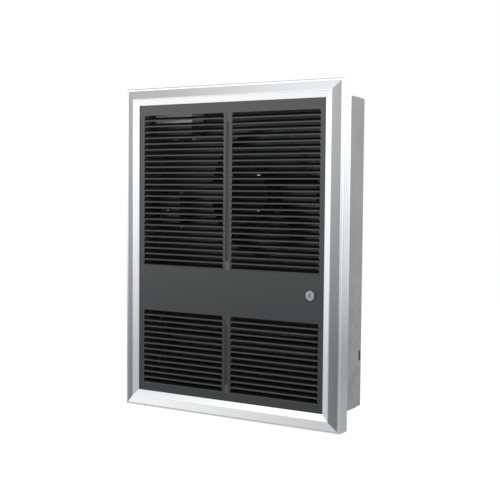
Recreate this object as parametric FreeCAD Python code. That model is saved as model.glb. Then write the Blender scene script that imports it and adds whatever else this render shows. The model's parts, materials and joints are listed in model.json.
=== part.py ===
import FreeCAD, Part
import math
import os

from FreeCAD import Vector

# Recessed fan heater: a galvanised box let into a wall, closed by a louvred grille in an extruded frame.
# Millimetres. X is to the right, the front faces -Y and +Z is up. The origin is the centre of the box's back.

# Wall box, folded from galvanised sheet
box_width = 356.0
box_height = 490.0
recess_depth = 95.0
box_sheet = 1.2
box_front_lip = 6.0
box_rear_flange = 22.0
cap_flange = 12.0
cap_setback = 14.0
back_hole_radius = 3.5
back_hole_inset = 38.0
nail_slot_width = 6.0
nail_slot_height = 15.0
nail_slot_setback = 2.4
nail_slot_rise = 82.0
supply_hole_radius = 11.1

# Extruded frame round the grille, which laps the wall beyond the box
side_lap = 23.5
end_lap = 19.5
frame_depth = 26.0
frame_wall = 1.8
frame_box_gap = 9.0
bead_width = 3.5
slope_width = 14.1
inner_width = 10.4
ridge_rise = 5.0
lip_thickness = 1.5
groove_depth = 7.0
rear_leg_setback = 1.5
return_groove_count = 5
return_groove_width = 0.7
return_groove_depth = 0.4

# Stamped grille
grille_sheet = 1.0
louvre_pitch = 9.525
slit_height = 6.9
slit_taper = 1.8
blade_length = 6.6
blade_lean = 42.0
blade_end_gap = 0.8
mullion_width = 14.0
bank_side_margin = 8.5
bank_top_margin = 16.6
bank_low_margin = 13.5
blank_band = 76.2
upper_bank_share = 2 / 3
crease_width = 5.0
crease_depth = 0.4

# Cover fixings
key_length = 45.0
key_thickness = 3.0
key_screw_near = 20.0
key_screw_far = 34.0
key_screw_radius = 1.5
key_screw_bite = 2.6
hook_side = 100.0
hook_width = 32.0
hook_screw_pitch = 18.0
hook_screw_bite = 1.6
hook_top_gap = 1.0
hook_lip_drop = 5.0
bracket_sheet = 1.4
bracket_edge = 1.0
top_leg_height = 8.0
bottom_bracket_width = 40.0
cover_screw_radius = 2.1
cover_screw_head_radius = 4.2
cover_screw_head_height = 2.4
cover_screw_spare = 3.0

# Fan panel and its brackets
panel_sheet = 1.0
shelf_rise = 11.3
control_column = 80.3
strap_edge_gap = 30.3
fan_lift = 17.7
fan_tip_gap = 4.0
collar_depth = 12.0
panel_bracket_leg = 17.0
panel_bracket_width = 30.0
panel_bracket_drop = 38.5
panel_bracket_rise = 34.0

# Motor and fan
motor_grille_gap = 4.74
strap_standoff = 20.0
strap_width = 26.0
strap_foot = 15.0
motor_radius = 42.0
motor_wall = 1.5
bell_length = 12.0
stack_length = 18.0
stack_wall = 18.0
air_gap = 0.4
winding_slot_rim = 3.0
winding_bolt_room = 7.5
winding_end_gap = 0.5
boss_radius = 11.0
boss_outside = 6.0
boss_inside = 6.0
bearing_radius = 8.0
shaft_radius = 3.97
shaft_end_gap = 1.5
rotor_end_gap = 1.0
motor_bolt_radius = 1.8
motor_screw_side = 26.0
motor_screw_bite = 3.5
blade_count = 5
fan_blade_width = 70.0
fan_blade_pitch = 25.0
fan_blade_sheet = 1.4
fan_depth_share = 1 / 3
hub_radius = 12.0
hub_length = 24.0
spider_radius = 32.0
spider_sheet = 2.0
set_screw_radius = 2.4

# Finned heating elements
tube_radius = 4.0
fin_gap = 4.0
fin_sheet = 0.6
fin_pitch = 4.7
leg_count = 4
element_drop = 21.0
element_rise = 30.8
element_inset = 42.0
element_tail = 9.0
bend_side_gap = 3.5
pin_radius = 2.4
pin_length = 13.0
pin_nut_radius = 4.0
pin_nut_length = 3.0
support_gap = 3.0
support_depth = 44.0
support_flange = 14.0

# Thermostat behind the blank band
thermostat_inset = 22.5
thermostat_lift = 4.2
thermostat_width = 44.0
thermostat_tall = 42.0
thermostat_deep = 26.0
thermostat_lip_gap = 3.8
spindle_radius = 3.2
spindle_inside = 9.0
spindle_proud = 0.8
spindle_slot_width = 1.0
spindle_slot_depth = 1.4
bushing_wall = 1.5
bushing_proud = 5.2
thermostat_nut_wall = 2.3
thermostat_nut_length = 3.2
thermostat_terminal_radius = 3.0
thermostat_terminal_height = 5.0

# Disconnect switch on its bracket
switch_inset = 35.3
switch_drop = 30.0
switch_bracket_width = 40.0
switch_bracket_span = 46.0
switch_bracket_foot = 9.0
switch_standoff = 34.0
switch_body_width = 24.0
switch_body_tall = 36.0
switch_body_deep = 26.0
switch_bushing_wall = 1.5
switch_bushing_length = 9.0
switch_nut_wall = 2.0
switch_nut_length = 2.4
toggle_throw = 13.0
toggle_ball_radius = 4.2
toggle_length = 17.0
toggle_root_radius = 1.9
toggle_tip_radius = 2.8

# Supply terminals under their cover
terminal_width = 54.0
terminal_tall = 22.0
terminal_deep = 18.0
terminal_poles = 3
terminal_wall = 2.0
wiring_cover_gap = 4.5
wiring_cover_width = 74.0
wiring_cover_tall = 50.0
wiring_cover_deep = 34.0
wiring_cover_tab = 11.0

# Snap-disc controls on the shelf
disc_radius = 8.5
disc_height = 10.0
disc_head_gap = 0.7
disc_flange_width = 14.0
disc_flange_sheet = 0.8
disc_spade_width = 6.3
disc_spade_sheet = 0.8
disc_spade_height = 9.0
limit_side = -95.0
fan_delay_side = -35.0

# Small screws and fits
small_screw_radius = 2.0
small_screw_head_radius = 3.4
small_screw_head_height = 2.0
small_screw_length = 6.0
socket_share = 0.45
fit_gap = 0.1
press_gap = 0.02
running_gap = 0.04
sheet_gap = 0.3
overrun = 5.0

# Box and frame planes that several pieces share
x_axis = Vector(1, 0, 0)
y_axis = Vector(0, 1, 0)
z_axis = Vector(0, 0, 1)
half_box = box_width / 2
half_box_tall = box_height / 2
side_inner = half_box - box_sheet
cap_inner = half_box_tall - box_sheet
wall_y = -recess_depth
bead_y = wall_y - frame_depth
box_front_y = bead_y + frame_box_gap
inner_front_y = box_front_y + box_sheet + sheet_gap
seat_y = bead_y + frame_wall
half_frame = half_box + side_lap
half_frame_tall = half_box_tall + end_lap
ridge_inset = bead_width + slope_width
frame_face = ridge_inset + inner_width
groove_width = grille_sheet + 2 * fit_gap
web_inset = frame_face - groove_depth - frame_wall
half_opening = half_frame - frame_face
half_opening_tall = half_frame_tall - frame_face

# Louvre banks: as many slits as the opening takes, shared out above and below the blank band
grille_front_y = bead_y + fit_gap
grille_rear_y = grille_front_y + grille_sheet
bank_width = half_opening - bank_side_margin - mullion_width / 2
bar_height = louvre_pitch - slit_height
bank_room = 2 * half_opening_tall - bank_top_margin - bank_low_margin - blank_band
slit_total = int((bank_room + 2 * bar_height) / louvre_pitch)
upper_slits = round(slit_total * upper_bank_share)
lower_slits = slit_total - upper_slits
upper_bank_top = half_opening_tall - bank_top_margin
upper_bank_low = upper_bank_top - upper_slits * louvre_pitch + bar_height
lower_bank_top = upper_bank_low - blank_band
bank_levels = ((upper_bank_top, upper_slits), (lower_bank_top, lower_slits))
lean = math.radians(blade_lean)
blade_tip_y = grille_front_y + blade_length * math.sin(lean)
blade_rear_y = blade_tip_y + grille_sheet * math.cos(lean)

# Motor, strap and fan panel, one behind the other from the grille back
motor_front_y = blade_rear_y + motor_grille_gap + small_screw_head_height
stack_front_y = motor_front_y + bell_length
stack_rear_y = stack_front_y + stack_length
strap_front_y = stack_rear_y + bell_length
strap_rear_y = strap_front_y + bracket_sheet
panel_front_y = strap_front_y + strap_standoff
panel_rear_y = panel_front_y + panel_sheet
foot_front_y = panel_front_y - bracket_sheet
panel_half = side_inner - box_sheet - sheet_gap
panel_top = cap_inner - sheet_gap
shelf_low = lower_bank_top + shelf_rise
shelf_top = shelf_low + panel_sheet
strap_half = panel_half - (control_column + strap_edge_gap) / 2
strap_leg_inner = strap_half - strap_foot
orifice_radius = strap_leg_inner - panel_sheet
fan_radius = orifice_radius - fan_tip_gap
fan_x = control_column + strap_half - panel_half
fan_z = (shelf_top + panel_top) / 2 + fan_lift

# Heating elements below the shelf
leg_pitch = (shelf_low + cap_inner - element_drop - element_rise) / (leg_count - 1)
fin_radius = leg_pitch / 2 - fin_gap
element_y = box_front_y + element_inset
bend_room = element_tail + leg_pitch / 2 + tube_radius + bend_side_gap
fin_count = int(2 * (side_inner - support_gap - box_sheet - bend_room) / fin_pitch)
fin_start = -fin_pitch * fin_count / 2
support_x = support_gap - fin_start
support_front_y = element_y - support_depth / 2
support_rear_y = support_front_y + support_depth

# Supply terminals in the panel's upper corner
cover_top = panel_top - wiring_cover_gap
cover_low = cover_top - wiring_cover_tall
cover_left = wiring_cover_gap - panel_half
cover_right = cover_left + wiring_cover_width
cover_front_y = panel_front_y - wiring_cover_deep
terminal_x = (cover_left + cover_right) / 2
terminal_z = (cover_low + cover_top) / 2
block_left = terminal_x - terminal_width / 2
block_low = terminal_z - terminal_tall / 2


def slab(x0, x1, y0, y1, z0, z1):
    return Part.makeBox(x1 - x0, y1 - y0, z1 - z0, Vector(x0, y0, z0))


def rod(x, y, z, axis, radius, length):
    return Part.makeCylinder(radius, length, Vector(x, y, z), axis)


def prism(points, sweep):
    return Part.Face(Part.makePolygon(points + points[:1])).extrude(sweep)


def prism_x(outline, x0, x1):
    return prism([Vector(x0, y, z) for y, z in outline], x_axis * (x1 - x0))


def prism_y(outline, y0, y1):
    return prism([Vector(x, y0, z) for x, z in outline], y_axis * (y1 - y0))


def prism_z(outline, z0, z1):
    return prism([Vector(x, y, z0) for x, y in outline], z_axis * (z1 - z0))


def joined(shapes):
    return shapes[0].multiFuse(shapes[1:]).removeSplitter()


def ring_y(x, y0, y1, z, inner_radius, outer_radius):
    length = y1 - y0
    bore = rod(x, y0 - overrun, z, y_axis, inner_radius, length + 2 * overrun)
    return rod(x, y0, z, y_axis, outer_radius, length).cut(bore)


def hex_nut(x, y0, y1, z, bore_radius, wall):
    """Nut along Y with corners up and down, bored to sit tight on its thread."""
    corner = (bore_radius + wall) / math.cos(math.pi / 6)
    turns = [math.pi / 6 + math.pi / 3 * step for step in range(6)]
    outline = [(x + corner * math.cos(turn), z + corner * math.sin(turn)) for turn in turns]
    bore = rod(x, y0 - overrun, z, y_axis, bore_radius + press_gap, y1 - y0 + 2 * overrun)
    return prism_y(outline, y0, y1).cut(bore)


def screw(x, y, z, facing, shank_radius, shank_length, head_radius, head_height):
    """Pan-head screw whose head sits at x, y, z and stands off that seat along facing."""
    seat = Vector(x, y, z)
    head = rod(x, y, z, facing, head_radius, head_height)
    rims = [edge for edge in head.Edges if edge.Closed]
    top_rim = max(rims, key=lambda edge: (edge.CenterOfMass - seat).dot(facing))
    head = head.makeFillet(head_height / 2, [top_rim])
    shank = rod(x, y, z, -facing, shank_radius, shank_length)
    socket_low = seat + facing * (head_height * (1 - socket_share))
    socket = Part.makeCylinder(head_radius * socket_share, head_height, socket_low, facing)
    return head.fuse(shank).cut(socket)


def small_screw(x, y, z, facing, length):
    head = (small_screw_head_radius, small_screw_head_height)
    return screw(x, y, z, facing, small_screw_radius, length, *head)


def blind_hole(x, y, z, axis, radius, depth):
    return rod(x, y, z, axis, radius + fit_gap, depth)


def through_hole(x, y, z, axis, radius):
    start = Vector(x, y, z) - axis * overrun
    return Part.makeCylinder(radius + fit_gap, 2 * overrun, start, axis)


def corner_signs():
    return [(side, level) for side in (-1, 1) for level in (-1, 1)]


def save(name, shape):
    solids = shape if isinstance(shape, list) else [shape]
    body = solids[0] if len(solids) == 1 else Part.makeCompound(solids)
    body.exportStep(os.path.join("parts", name + ".step"))


os.makedirs("parts", exist_ok=True)


# Wall box: a folded body of back and sides
body_sheets = [slab(-half_box, half_box, -box_sheet, 0, -cap_inner, cap_inner)]
for side in (-1, 1):
    side_span = sorted((side * side_inner, side * half_box))
    lip_span = sorted((side * (side_inner - box_front_lip), side * side_inner))
    flange_span = sorted((side * (cap_inner - box_sheet), side * cap_inner))
    body_sheets.append(slab(*side_span, box_front_y, 0, -cap_inner, cap_inner))
    body_sheets.append(slab(*lip_span, box_front_y, box_front_y + box_sheet, -cap_inner, cap_inner))
    body_sheets.append(slab(-side_inner, side_inner, -box_rear_flange, -box_sheet, *flange_span))
body_holes = []
for side, level in corner_signs():
    hole_x = side * (half_box - back_hole_inset)
    hole_z = level * (half_box_tall - back_hole_inset)
    body_holes.append(rod(hole_x, -overrun, hole_z, y_axis, back_hole_radius, 2 * overrun))
slot_front = -nail_slot_setback - nail_slot_width
slot_low = nail_slot_rise - half_box_tall - nail_slot_height / 2
for side in (-1, 1):
    slot_span = sorted((side * (side_inner - overrun), side * (half_box + overrun)))
    slot_top = slot_low + nail_slot_height
    body_holes.append(slab(*slot_span, slot_front, -nail_slot_setback, slot_low, slot_top))
save("box_body", joined(body_sheets).cut(body_holes))


# Top and bottom caps of the box, lapped over the ends of the body
def box_cap(level):
    plate_span = sorted((level * cap_inner, level * half_box_tall))
    fold_span = sorted((level * (cap_inner - cap_flange), level * cap_inner))
    fold_rear = -box_rear_flange - sheet_gap
    sheets = [slab(-half_box, half_box, box_front_y, -cap_setback, *plate_span)]
    for side in (-1, 1):
        fold_x = sorted((side * (side_inner - box_sheet), side * side_inner))
        sheets.append(slab(*fold_x, inner_front_y, fold_rear, *fold_span))
    return joined(sheets)


supply_hole_y = (cover_front_y + panel_front_y) / 2
supply_hole = rod(terminal_x, supply_hole_y, cap_inner - overrun, z_axis, supply_hole_radius, 2 * overrun)
support_screw_x = support_x - support_flange / 2
support_screw_spots = [
    (side * support_screw_x, element_y + step * support_depth / 4)
    for side, step in corner_signs()
]
cap_screw_holes = [
    through_hole(x, y, -cap_inner, z_axis, small_screw_radius)
    for x, y in support_screw_spots
]
save("box_top", box_cap(1).cut(supply_hole))
save("box_bottom", box_cap(-1).cut(cap_screw_holes))


# Frame: one extruded moulding, cut to four mitred lengths
def frame_outline():
    """Moulding section as inset from the outer edge and height forward of the wall."""
    outline = [(0, 0)]
    groove_step = frame_depth / (return_groove_count + 1)
    for count in range(1, return_groove_count + 1):
        low = count * groove_step - return_groove_width / 2
        high = low + return_groove_width
        outline += [(0, low), (return_groove_depth, low), (return_groove_depth, high), (0, high)]
    leg_front = frame_depth - groove_width
    leg_rear = leg_front - frame_wall
    leg_end = frame_face - rear_leg_setback
    groove_end = frame_face - groove_depth
    outline += [(0, frame_depth), (bead_width, frame_depth), (ridge_inset, frame_depth + ridge_rise)]
    outline += [(frame_face, frame_depth + lip_thickness), (frame_face, frame_depth)]
    outline += [(groove_end, frame_depth), (groove_end, leg_front), (leg_end, leg_front)]
    outline += [(leg_end, leg_rear), (web_inset, leg_rear), (web_inset, frame_depth - frame_wall)]
    outline += [(frame_wall, frame_depth - frame_wall), (frame_wall, 0)]
    return outline


def frame_member(half_length, reach, turn):
    """Member lying along X with its outer edge up, mitred, then turned to its side of the frame."""
    section = [Vector(-half_length, wall_y - forward, -inset) for inset, forward in frame_outline()]
    toe = frame_face + overrun
    mitre = [(-half_length, 0), (half_length, 0), (half_length - toe, -toe), (toe - half_length, -toe)]
    mitre_block = prism_y(mitre, bead_y - ridge_rise - overrun, wall_y + overrun)
    bar = prism(section, x_axis * (2 * half_length)).common(mitre_block)
    bar.translate(z_axis * reach)
    bar.rotate(Vector(0, 0, 0), y_axis, turn)
    return bar


key_mid_inset = (frame_wall + web_inset) / 2
key_screw_spots = []
for side, level in corner_signs():
    for step in (key_screw_near, key_screw_far):
        key_screw_spots.append((side * (half_frame - step), level * (half_frame_tall - key_mid_inset)))
        key_screw_spots.append((side * (half_frame - key_mid_inset), level * (half_frame_tall - step)))
hook_low = half_box_tall + top_leg_height + sheet_gap
hook_tongue_top = hook_low + bracket_sheet
hook_top = half_frame_tall - frame_wall - hook_top_gap
hook_screw_z = (hook_tongue_top + hook_top) / 2
hook_screw_xs = [side * hook_side + step * hook_screw_pitch / 2 for side, step in corner_signs()]
bottom_foot_low = frame_wall - half_frame_tall
bracket_front_y = box_front_y + bracket_edge
bracket_rear_y = wall_y - bracket_edge
cover_screw_y = (bracket_front_y + bracket_rear_y) / 2
cover_screw_hole = through_hole(0, cover_screw_y, bottom_foot_low, z_axis, cover_screw_radius)
frame_holes = [cover_screw_hole]
for x, z in key_screw_spots:
    depth = key_screw_bite + overrun
    frame_holes.append(blind_hole(x, seat_y - key_screw_bite, z, y_axis, key_screw_radius, depth))
for x in hook_screw_xs:
    depth = hook_screw_bite + overrun
    frame_holes.append(blind_hole(x, seat_y - hook_screw_bite, hook_screw_z, y_axis, key_screw_radius, depth))
save("frame_top", frame_member(half_frame, half_frame_tall, 0).cut(frame_holes))
save("frame_right", frame_member(half_frame_tall, half_frame, 90).cut(frame_holes))
save("frame_bottom", frame_member(half_frame, half_frame_tall, 180).cut(frame_holes))
save("frame_left", frame_member(half_frame_tall, half_frame, 270).cut(frame_holes))


# Corner keys: flat angles screwed behind each mitre
def corner_key(side, level):
    near = frame_wall + sheet_gap
    far = web_inset - sheet_gap
    insets = [(near, near), (key_length, near), (key_length, far)]
    insets += [(far, far), (far, key_length), (near, key_length)]
    outline = [(side * (half_frame - u), level * (half_frame_tall - w)) for u, w in insets]
    return prism_y(outline, seat_y, key_seat_y)


key_seat_y = seat_y + key_thickness
key_shank = key_thickness + key_screw_bite
key_head = (small_screw_head_radius, small_screw_head_height)
key_holes = [through_hole(x, seat_y, z, y_axis, key_screw_radius) for x, z in key_screw_spots]
save("corner_keys", [corner_key(side, level).cut(key_holes) for side, level in corner_signs()])
save("corner_screws", [
    screw(x, key_seat_y, z, y_axis, key_screw_radius, key_shank, *key_head)
    for x, z in key_screw_spots
])


# Grille: one stamped sheet with four banks of lanced louvres
def slit_cut(mid_x, low):
    wide = bank_width / 2
    narrow = wide - slit_taper
    top = low + slit_height
    outline = [(mid_x - wide, low), (mid_x + wide, low), (mid_x + narrow, top), (mid_x - narrow, top)]
    return prism_y(outline, grille_front_y - overrun, grille_rear_y + overrun)


def louvre_blade(mid_x, low):
    """Tab still joined along the slit's lower edge and bent inwards, so it leans back as it rises."""
    wide = bank_width / 2 - blade_end_gap
    narrow = wide - slit_taper
    tip = low + blade_length * math.cos(lean)
    front = [Vector(mid_x - wide, grille_front_y, low), Vector(mid_x + wide, grille_front_y, low)]
    front += [Vector(mid_x + narrow, blade_tip_y, tip), Vector(mid_x - narrow, blade_tip_y, tip)]
    return prism(front, Vector(0, math.cos(lean), -math.sin(lean)) * grille_sheet)


def mullion_crease(top, slit_count):
    outline = [(-crease_width / 2, grille_front_y), (crease_width / 2, grille_front_y)]
    outline += [(0, grille_front_y + crease_depth)]
    return prism_z(outline, top + bar_height - slit_count * louvre_pitch, top)


grille_half = half_opening + groove_depth - sheet_gap
grille_half_tall = half_opening_tall + groove_depth - sheet_gap
bank_mid = (mullion_width + bank_width) / 2
bushing_radius = spindle_radius + bushing_wall
thermostat_x = half_opening - thermostat_inset
thermostat_z = lower_bank_top + blank_band / 2 + thermostat_lift
grille_cuts = [through_hole(thermostat_x, grille_front_y, thermostat_z, y_axis, bushing_radius)]
blades = []
for bank_top, slit_count in bank_levels:
    grille_cuts.append(mullion_crease(bank_top, slit_count))
    for number in range(slit_count):
        slit_low = bank_top - number * louvre_pitch - slit_height
        for mid_x in (-bank_mid, bank_mid):
            grille_cuts.append(slit_cut(mid_x, slit_low))
            blades.append(louvre_blade(mid_x, slit_low))
grille_span = (-grille_half, grille_half, grille_front_y, grille_rear_y, -grille_half_tall, grille_half_tall)
save("grille_panel", slab(*grille_span).cut(grille_cuts).multiFuse(blades))


# Cover fixings: hooks over the top, one screw from below
def top_bracket(mid_x):
    leg_rear = bracket_front_y + bracket_sheet
    foot_top = half_box_tall + bracket_sheet
    leg_top = half_box_tall + top_leg_height
    outline = [(bracket_front_y, half_box_tall), (bracket_rear_y, half_box_tall)]
    outline += [(bracket_rear_y, foot_top), (leg_rear, foot_top)]
    outline += [(leg_rear, leg_top), (bracket_front_y, leg_top)]
    return prism_x(outline, mid_x - hook_width / 2, mid_x + hook_width / 2)


def cover_hook(mid_x):
    plate_rear = seat_y + bracket_sheet
    lip_front = bracket_front_y + bracket_sheet + sheet_gap
    lip_rear = lip_front + bracket_sheet
    lip_low = hook_low - hook_lip_drop
    outline = [(seat_y, hook_low), (lip_front, hook_low), (lip_front, lip_low), (lip_rear, lip_low)]
    outline += [(lip_rear, hook_tongue_top), (plate_rear, hook_tongue_top)]
    outline += [(plate_rear, hook_top), (seat_y, hook_top)]
    return prism_x(outline, mid_x - hook_width / 2, mid_x + hook_width / 2)


hook_seat_y = seat_y + bracket_sheet
hook_shank = bracket_sheet + hook_screw_bite
hook_head = ((hook_top - hook_tongue_top) / 2 - fit_gap, small_screw_head_height)
hook_holes = [through_hole(x, seat_y, hook_screw_z, y_axis, key_screw_radius) for x in hook_screw_xs]
save("top_brackets", [top_bracket(side * hook_side) for side in (-1, 1)])
save("cover_hooks", [cover_hook(side * hook_side).cut(hook_holes) for side in (-1, 1)])
save("hook_screws", [
    screw(x, hook_seat_y, hook_screw_z, y_axis, key_screw_radius, hook_shank, *hook_head)
    for x in hook_screw_xs
])

bottom_foot_top = bottom_foot_low + bracket_sheet
bottom_web_y = bracket_rear_y - bracket_sheet
bottom_ledge_low = -half_box_tall - bracket_sheet
bracket_outline = [(bracket_front_y, -half_box_tall), (bracket_rear_y, -half_box_tall)]
bracket_outline += [(bracket_rear_y, bottom_foot_low), (bracket_front_y, bottom_foot_low)]
bracket_outline += [(bracket_front_y, bottom_foot_top), (bottom_web_y, bottom_foot_top)]
bracket_outline += [(bottom_web_y, bottom_ledge_low), (bracket_front_y, bottom_ledge_low)]
bottom_bracket = prism_x(bracket_outline, -bottom_bracket_width / 2, bottom_bracket_width / 2)
save("bottom_bracket", bottom_bracket.cut(cover_screw_hole))
cover_shank = frame_wall + bracket_sheet + cover_screw_spare
save("cover_screw", screw(
    0, cover_screw_y, -half_frame_tall, -z_axis,
    cover_screw_radius, cover_shank, cover_screw_head_radius, cover_screw_head_height,
))


# Fan panel: a sheet across the box with the fan's orifice, and a shelf that parts the two air chambers
strap_foot_mid = strap_half - strap_foot / 2
strap_screw_spots = [
    (fan_x + side * strap_foot_mid, fan_z + level * strap_width / 4)
    for side, level in corner_signs()
]
panel_bracket_levels = (panel_top - panel_bracket_drop, shelf_top + panel_bracket_rise)
panel_screw_x = side_inner - panel_bracket_leg / 2
panel_screw_spots = [(side * panel_screw_x, z) for side in (-1, 1) for z in panel_bracket_levels]
switch_x = switch_inset - panel_half
switch_z = fan_z - switch_drop
hat_leg_outer = switch_bracket_span / 2 + bracket_sheet
hat_foot_end = hat_leg_outer + switch_bracket_foot
hat_foot_mid = (hat_leg_outer + hat_foot_end) / 2
switch_screw_spots = [(switch_x, switch_z + level * hat_foot_mid) for level in (-1, 1)]
tab_mid_z = cover_low - wiring_cover_tab / 2
wiring_screw_spots = [(terminal_x + side * wiring_cover_width / 4, tab_mid_z) for side in (-1, 1)]
ground_spot = (terminal_x, (cover_low + block_low) / 2)
disc_y = (inner_front_y + panel_front_y) / 2
disc_flange_half = disc_radius + disc_head_gap + 2 * small_screw_head_radius
disc_screw_side = disc_flange_half - small_screw_head_radius
disc_xs = (limit_side, fan_delay_side)
disc_screw_xs = [x + side * disc_screw_side for x in disc_xs for side in (-1, 1)]
disc_screw_holes = [through_hole(x, disc_y, shelf_low, z_axis, small_screw_radius) for x in disc_screw_xs]
front_screw_spots = strap_screw_spots + panel_screw_spots + switch_screw_spots + wiring_screw_spots
front_screw_spots += [ground_spot]
panel_cuts = [rod(fan_x, panel_front_y - overrun, fan_z, y_axis, orifice_radius, 2 * overrun)]
for x, z in front_screw_spots:
    panel_cuts.append(through_hole(x, panel_front_y, z, y_axis, small_screw_radius))
disc_window_radius = disc_radius - disc_flange_sheet
shelf_cuts = disc_screw_holes[:]
for x in disc_xs:
    shelf_cuts.append(rod(x, disc_y, shelf_low - overrun, z_axis, disc_window_radius, 2 * overrun))
panel = slab(-panel_half, panel_half, panel_front_y, panel_rear_y, shelf_low, panel_top).cut(panel_cuts)
shelf = slab(-panel_half, panel_half, inner_front_y, panel_front_y, shelf_low, shelf_top).cut(shelf_cuts)
collar = ring_y(fan_x, panel_rear_y, panel_rear_y + collar_depth, fan_z, orifice_radius, strap_leg_inner)
save("fan_panel", joined([panel, shelf, collar]))


def panel_bracket(side, mid_z):
    """Small angle welded inside the box's side, with the leg that takes the panel's screw."""
    edge = side * side_inner
    inner = side * (side_inner - panel_bracket_leg)
    web = side * (side_inner - bracket_sheet)
    face_rear = panel_rear_y + bracket_sheet
    leg_rear = panel_rear_y + panel_bracket_leg
    outline = [(inner, panel_rear_y), (edge, panel_rear_y), (edge, leg_rear)]
    outline += [(web, leg_rear), (web, face_rear), (inner, face_rear)]
    return prism_z(outline, mid_z - panel_bracket_width / 2, mid_z + panel_bracket_width / 2)


bracket_holes = [through_hole(x, panel_rear_y, z, y_axis, small_screw_radius) for x, z in panel_screw_spots]
save("panel_brackets", [
    panel_bracket(side, mid_z).cut(bracket_holes)
    for side in (-1, 1)
    for mid_z in panel_bracket_levels
])
save("panel_screws", [
    small_screw(x, panel_front_y, z, -y_axis, small_screw_length)
    for x, z in panel_screw_spots
])


# Motor strap: a bent bar that carries the motor in front of the orifice
strap_leg_outer = strap_leg_inner + bracket_sheet
half_strap = [(strap_leg_inner, strap_rear_y), (strap_leg_inner, panel_front_y), (strap_half, panel_front_y)]
half_strap += [(strap_half, foot_front_y), (strap_leg_outer, foot_front_y), (strap_leg_outer, strap_front_y)]
strap_outline = [(fan_x + u, y) for u, y in half_strap]
strap_outline += [(fan_x - u, y) for u, y in reversed(half_strap)]
strap = prism_z(strap_outline, fan_z - strap_width / 2, fan_z + strap_width / 2)
motor_screw_xs = [fan_x + side * motor_screw_side for side in (-1, 1)]
strap_cuts = [rod(fan_x, strap_front_y - overrun, fan_z, y_axis, boss_radius + sheet_gap, 2 * overrun)]
for x, z in strap_screw_spots:
    strap_cuts.append(through_hole(x, panel_front_y, z, y_axis, small_screw_radius))
for x in motor_screw_xs:
    strap_cuts.append(through_hole(x, strap_front_y, fan_z, y_axis, small_screw_radius))
save("motor_strap", strap.cut(strap_cuts))
save("strap_screws", [
    small_screw(x, foot_front_y, z, -y_axis, small_screw_length)
    for x, z in strap_screw_spots
])
motor_shank = bracket_sheet + motor_wall + motor_screw_bite
save("motor_screws", [small_screw(x, strap_rear_y, fan_z, y_axis, motor_shank) for x in motor_screw_xs])


# Motor: two pressed bells clamp a laminated stack, with the shaft in sleeve bearings
stack_bore_radius = motor_radius - stack_wall
winding_inner = stack_bore_radius + winding_slot_rim
winding_outer = motor_radius - motor_wall - winding_bolt_room
winding_length = bell_length - motor_wall - motor_screw_bite - winding_end_gap
bolt_length = strap_front_y - motor_front_y
bolt_offset = (winding_outer + motor_radius - motor_wall) / 2 / math.sqrt(2)
bolt_spots = [(fan_x + side * bolt_offset, fan_z + level * bolt_offset) for side, level in corner_signs()]
bolt_holes = [
    blind_hole(x, motor_front_y - overrun, z, y_axis, motor_bolt_radius, bolt_length + 2 * overrun)
    for x, z in bolt_spots
]
motor_screw_holes = [
    through_hole(x, strap_front_y, fan_z, y_axis, small_screw_radius)
    for x in motor_screw_xs
]


def motor_ring(y0, y1, inner_radius, outer_radius):
    return ring_y(fan_x, y0, y1, fan_z, inner_radius, outer_radius)


bell_inner = motor_radius - motor_wall
bearing_seat = bearing_radius + press_gap
shaft_clear = shaft_radius + running_gap
rear_boss_front = strap_front_y - boss_inside
rear_boss_rear = strap_front_y + boss_outside
front_boss_rear = stack_front_y - rotor_end_gap
rear_bell = joined([
    motor_ring(stack_rear_y, strap_front_y, bell_inner, motor_radius),
    motor_ring(strap_front_y - motor_wall, strap_front_y, bearing_seat, motor_radius),
    motor_ring(rear_boss_front, rear_boss_rear, bearing_seat, boss_radius),
])
front_bell = joined([
    motor_ring(motor_front_y, stack_front_y, bell_inner, motor_radius),
    rod(fan_x, motor_front_y, fan_z, y_axis, motor_radius, motor_wall),
    motor_ring(motor_front_y, front_boss_rear, bearing_seat, boss_radius),
])
save("motor_rear_bell", rear_bell.cut(bolt_holes + motor_screw_holes))
save("motor_front_bell", front_bell.cut(bolt_holes))
stack = motor_ring(stack_front_y, stack_rear_y, stack_bore_radius, motor_radius)
save("motor_stator", stack.cut(bolt_holes))
save("motor_windings", [
    motor_ring(stack_rear_y, stack_rear_y + winding_length, winding_inner, winding_outer),
    motor_ring(stack_front_y - winding_length, stack_front_y, winding_inner, winding_outer),
])
save("motor_bearings", [
    motor_ring(rear_boss_front, rear_boss_rear, shaft_clear, bearing_radius),
    motor_ring(motor_front_y + motor_wall, front_boss_rear, shaft_clear, bearing_radius),
])
save("motor_bolts", [
    screw(x, motor_front_y, z, -y_axis, motor_bolt_radius, bolt_length, *key_head)
    for x, z in bolt_spots
])
rotor_radius = stack_bore_radius - air_gap
save("motor_rotor", motor_ring(stack_front_y, stack_rear_y, shaft_radius + press_gap, rotor_radius))


# Fan: pitched blades on a spider and hub, held on the shaft by a set screw
fan_mid_y = panel_rear_y + collar_depth * fan_depth_share
hub_front_y = fan_mid_y - hub_length / 2
hub_rear_y = hub_front_y + hub_length
shaft_front_y = motor_front_y + motor_wall + shaft_end_gap
save("motor_shaft", rod(fan_x, shaft_front_y, fan_z, y_axis, shaft_radius, hub_rear_y - shaft_front_y))


def fan_blade(number):
    """Flat blade pitched about its own radius and trimmed to the fan's sweep."""
    half_sheet = fan_blade_sheet / 2
    half_width = fan_blade_width / 2
    blade = slab(0, fan_radius + overrun, -half_sheet, half_sheet, -half_width, half_width)
    blade.rotate(Vector(0, 0, 0), x_axis, fan_blade_pitch)
    blade.rotate(Vector(0, 0, 0), y_axis, 360 / blade_count * number)
    blade.translate(Vector(fan_x, fan_mid_y, fan_z))
    sweep = motor_ring(fan_mid_y - fan_blade_width, fan_mid_y + fan_blade_width, hub_radius, fan_radius)
    return blade.common(sweep)


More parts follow.
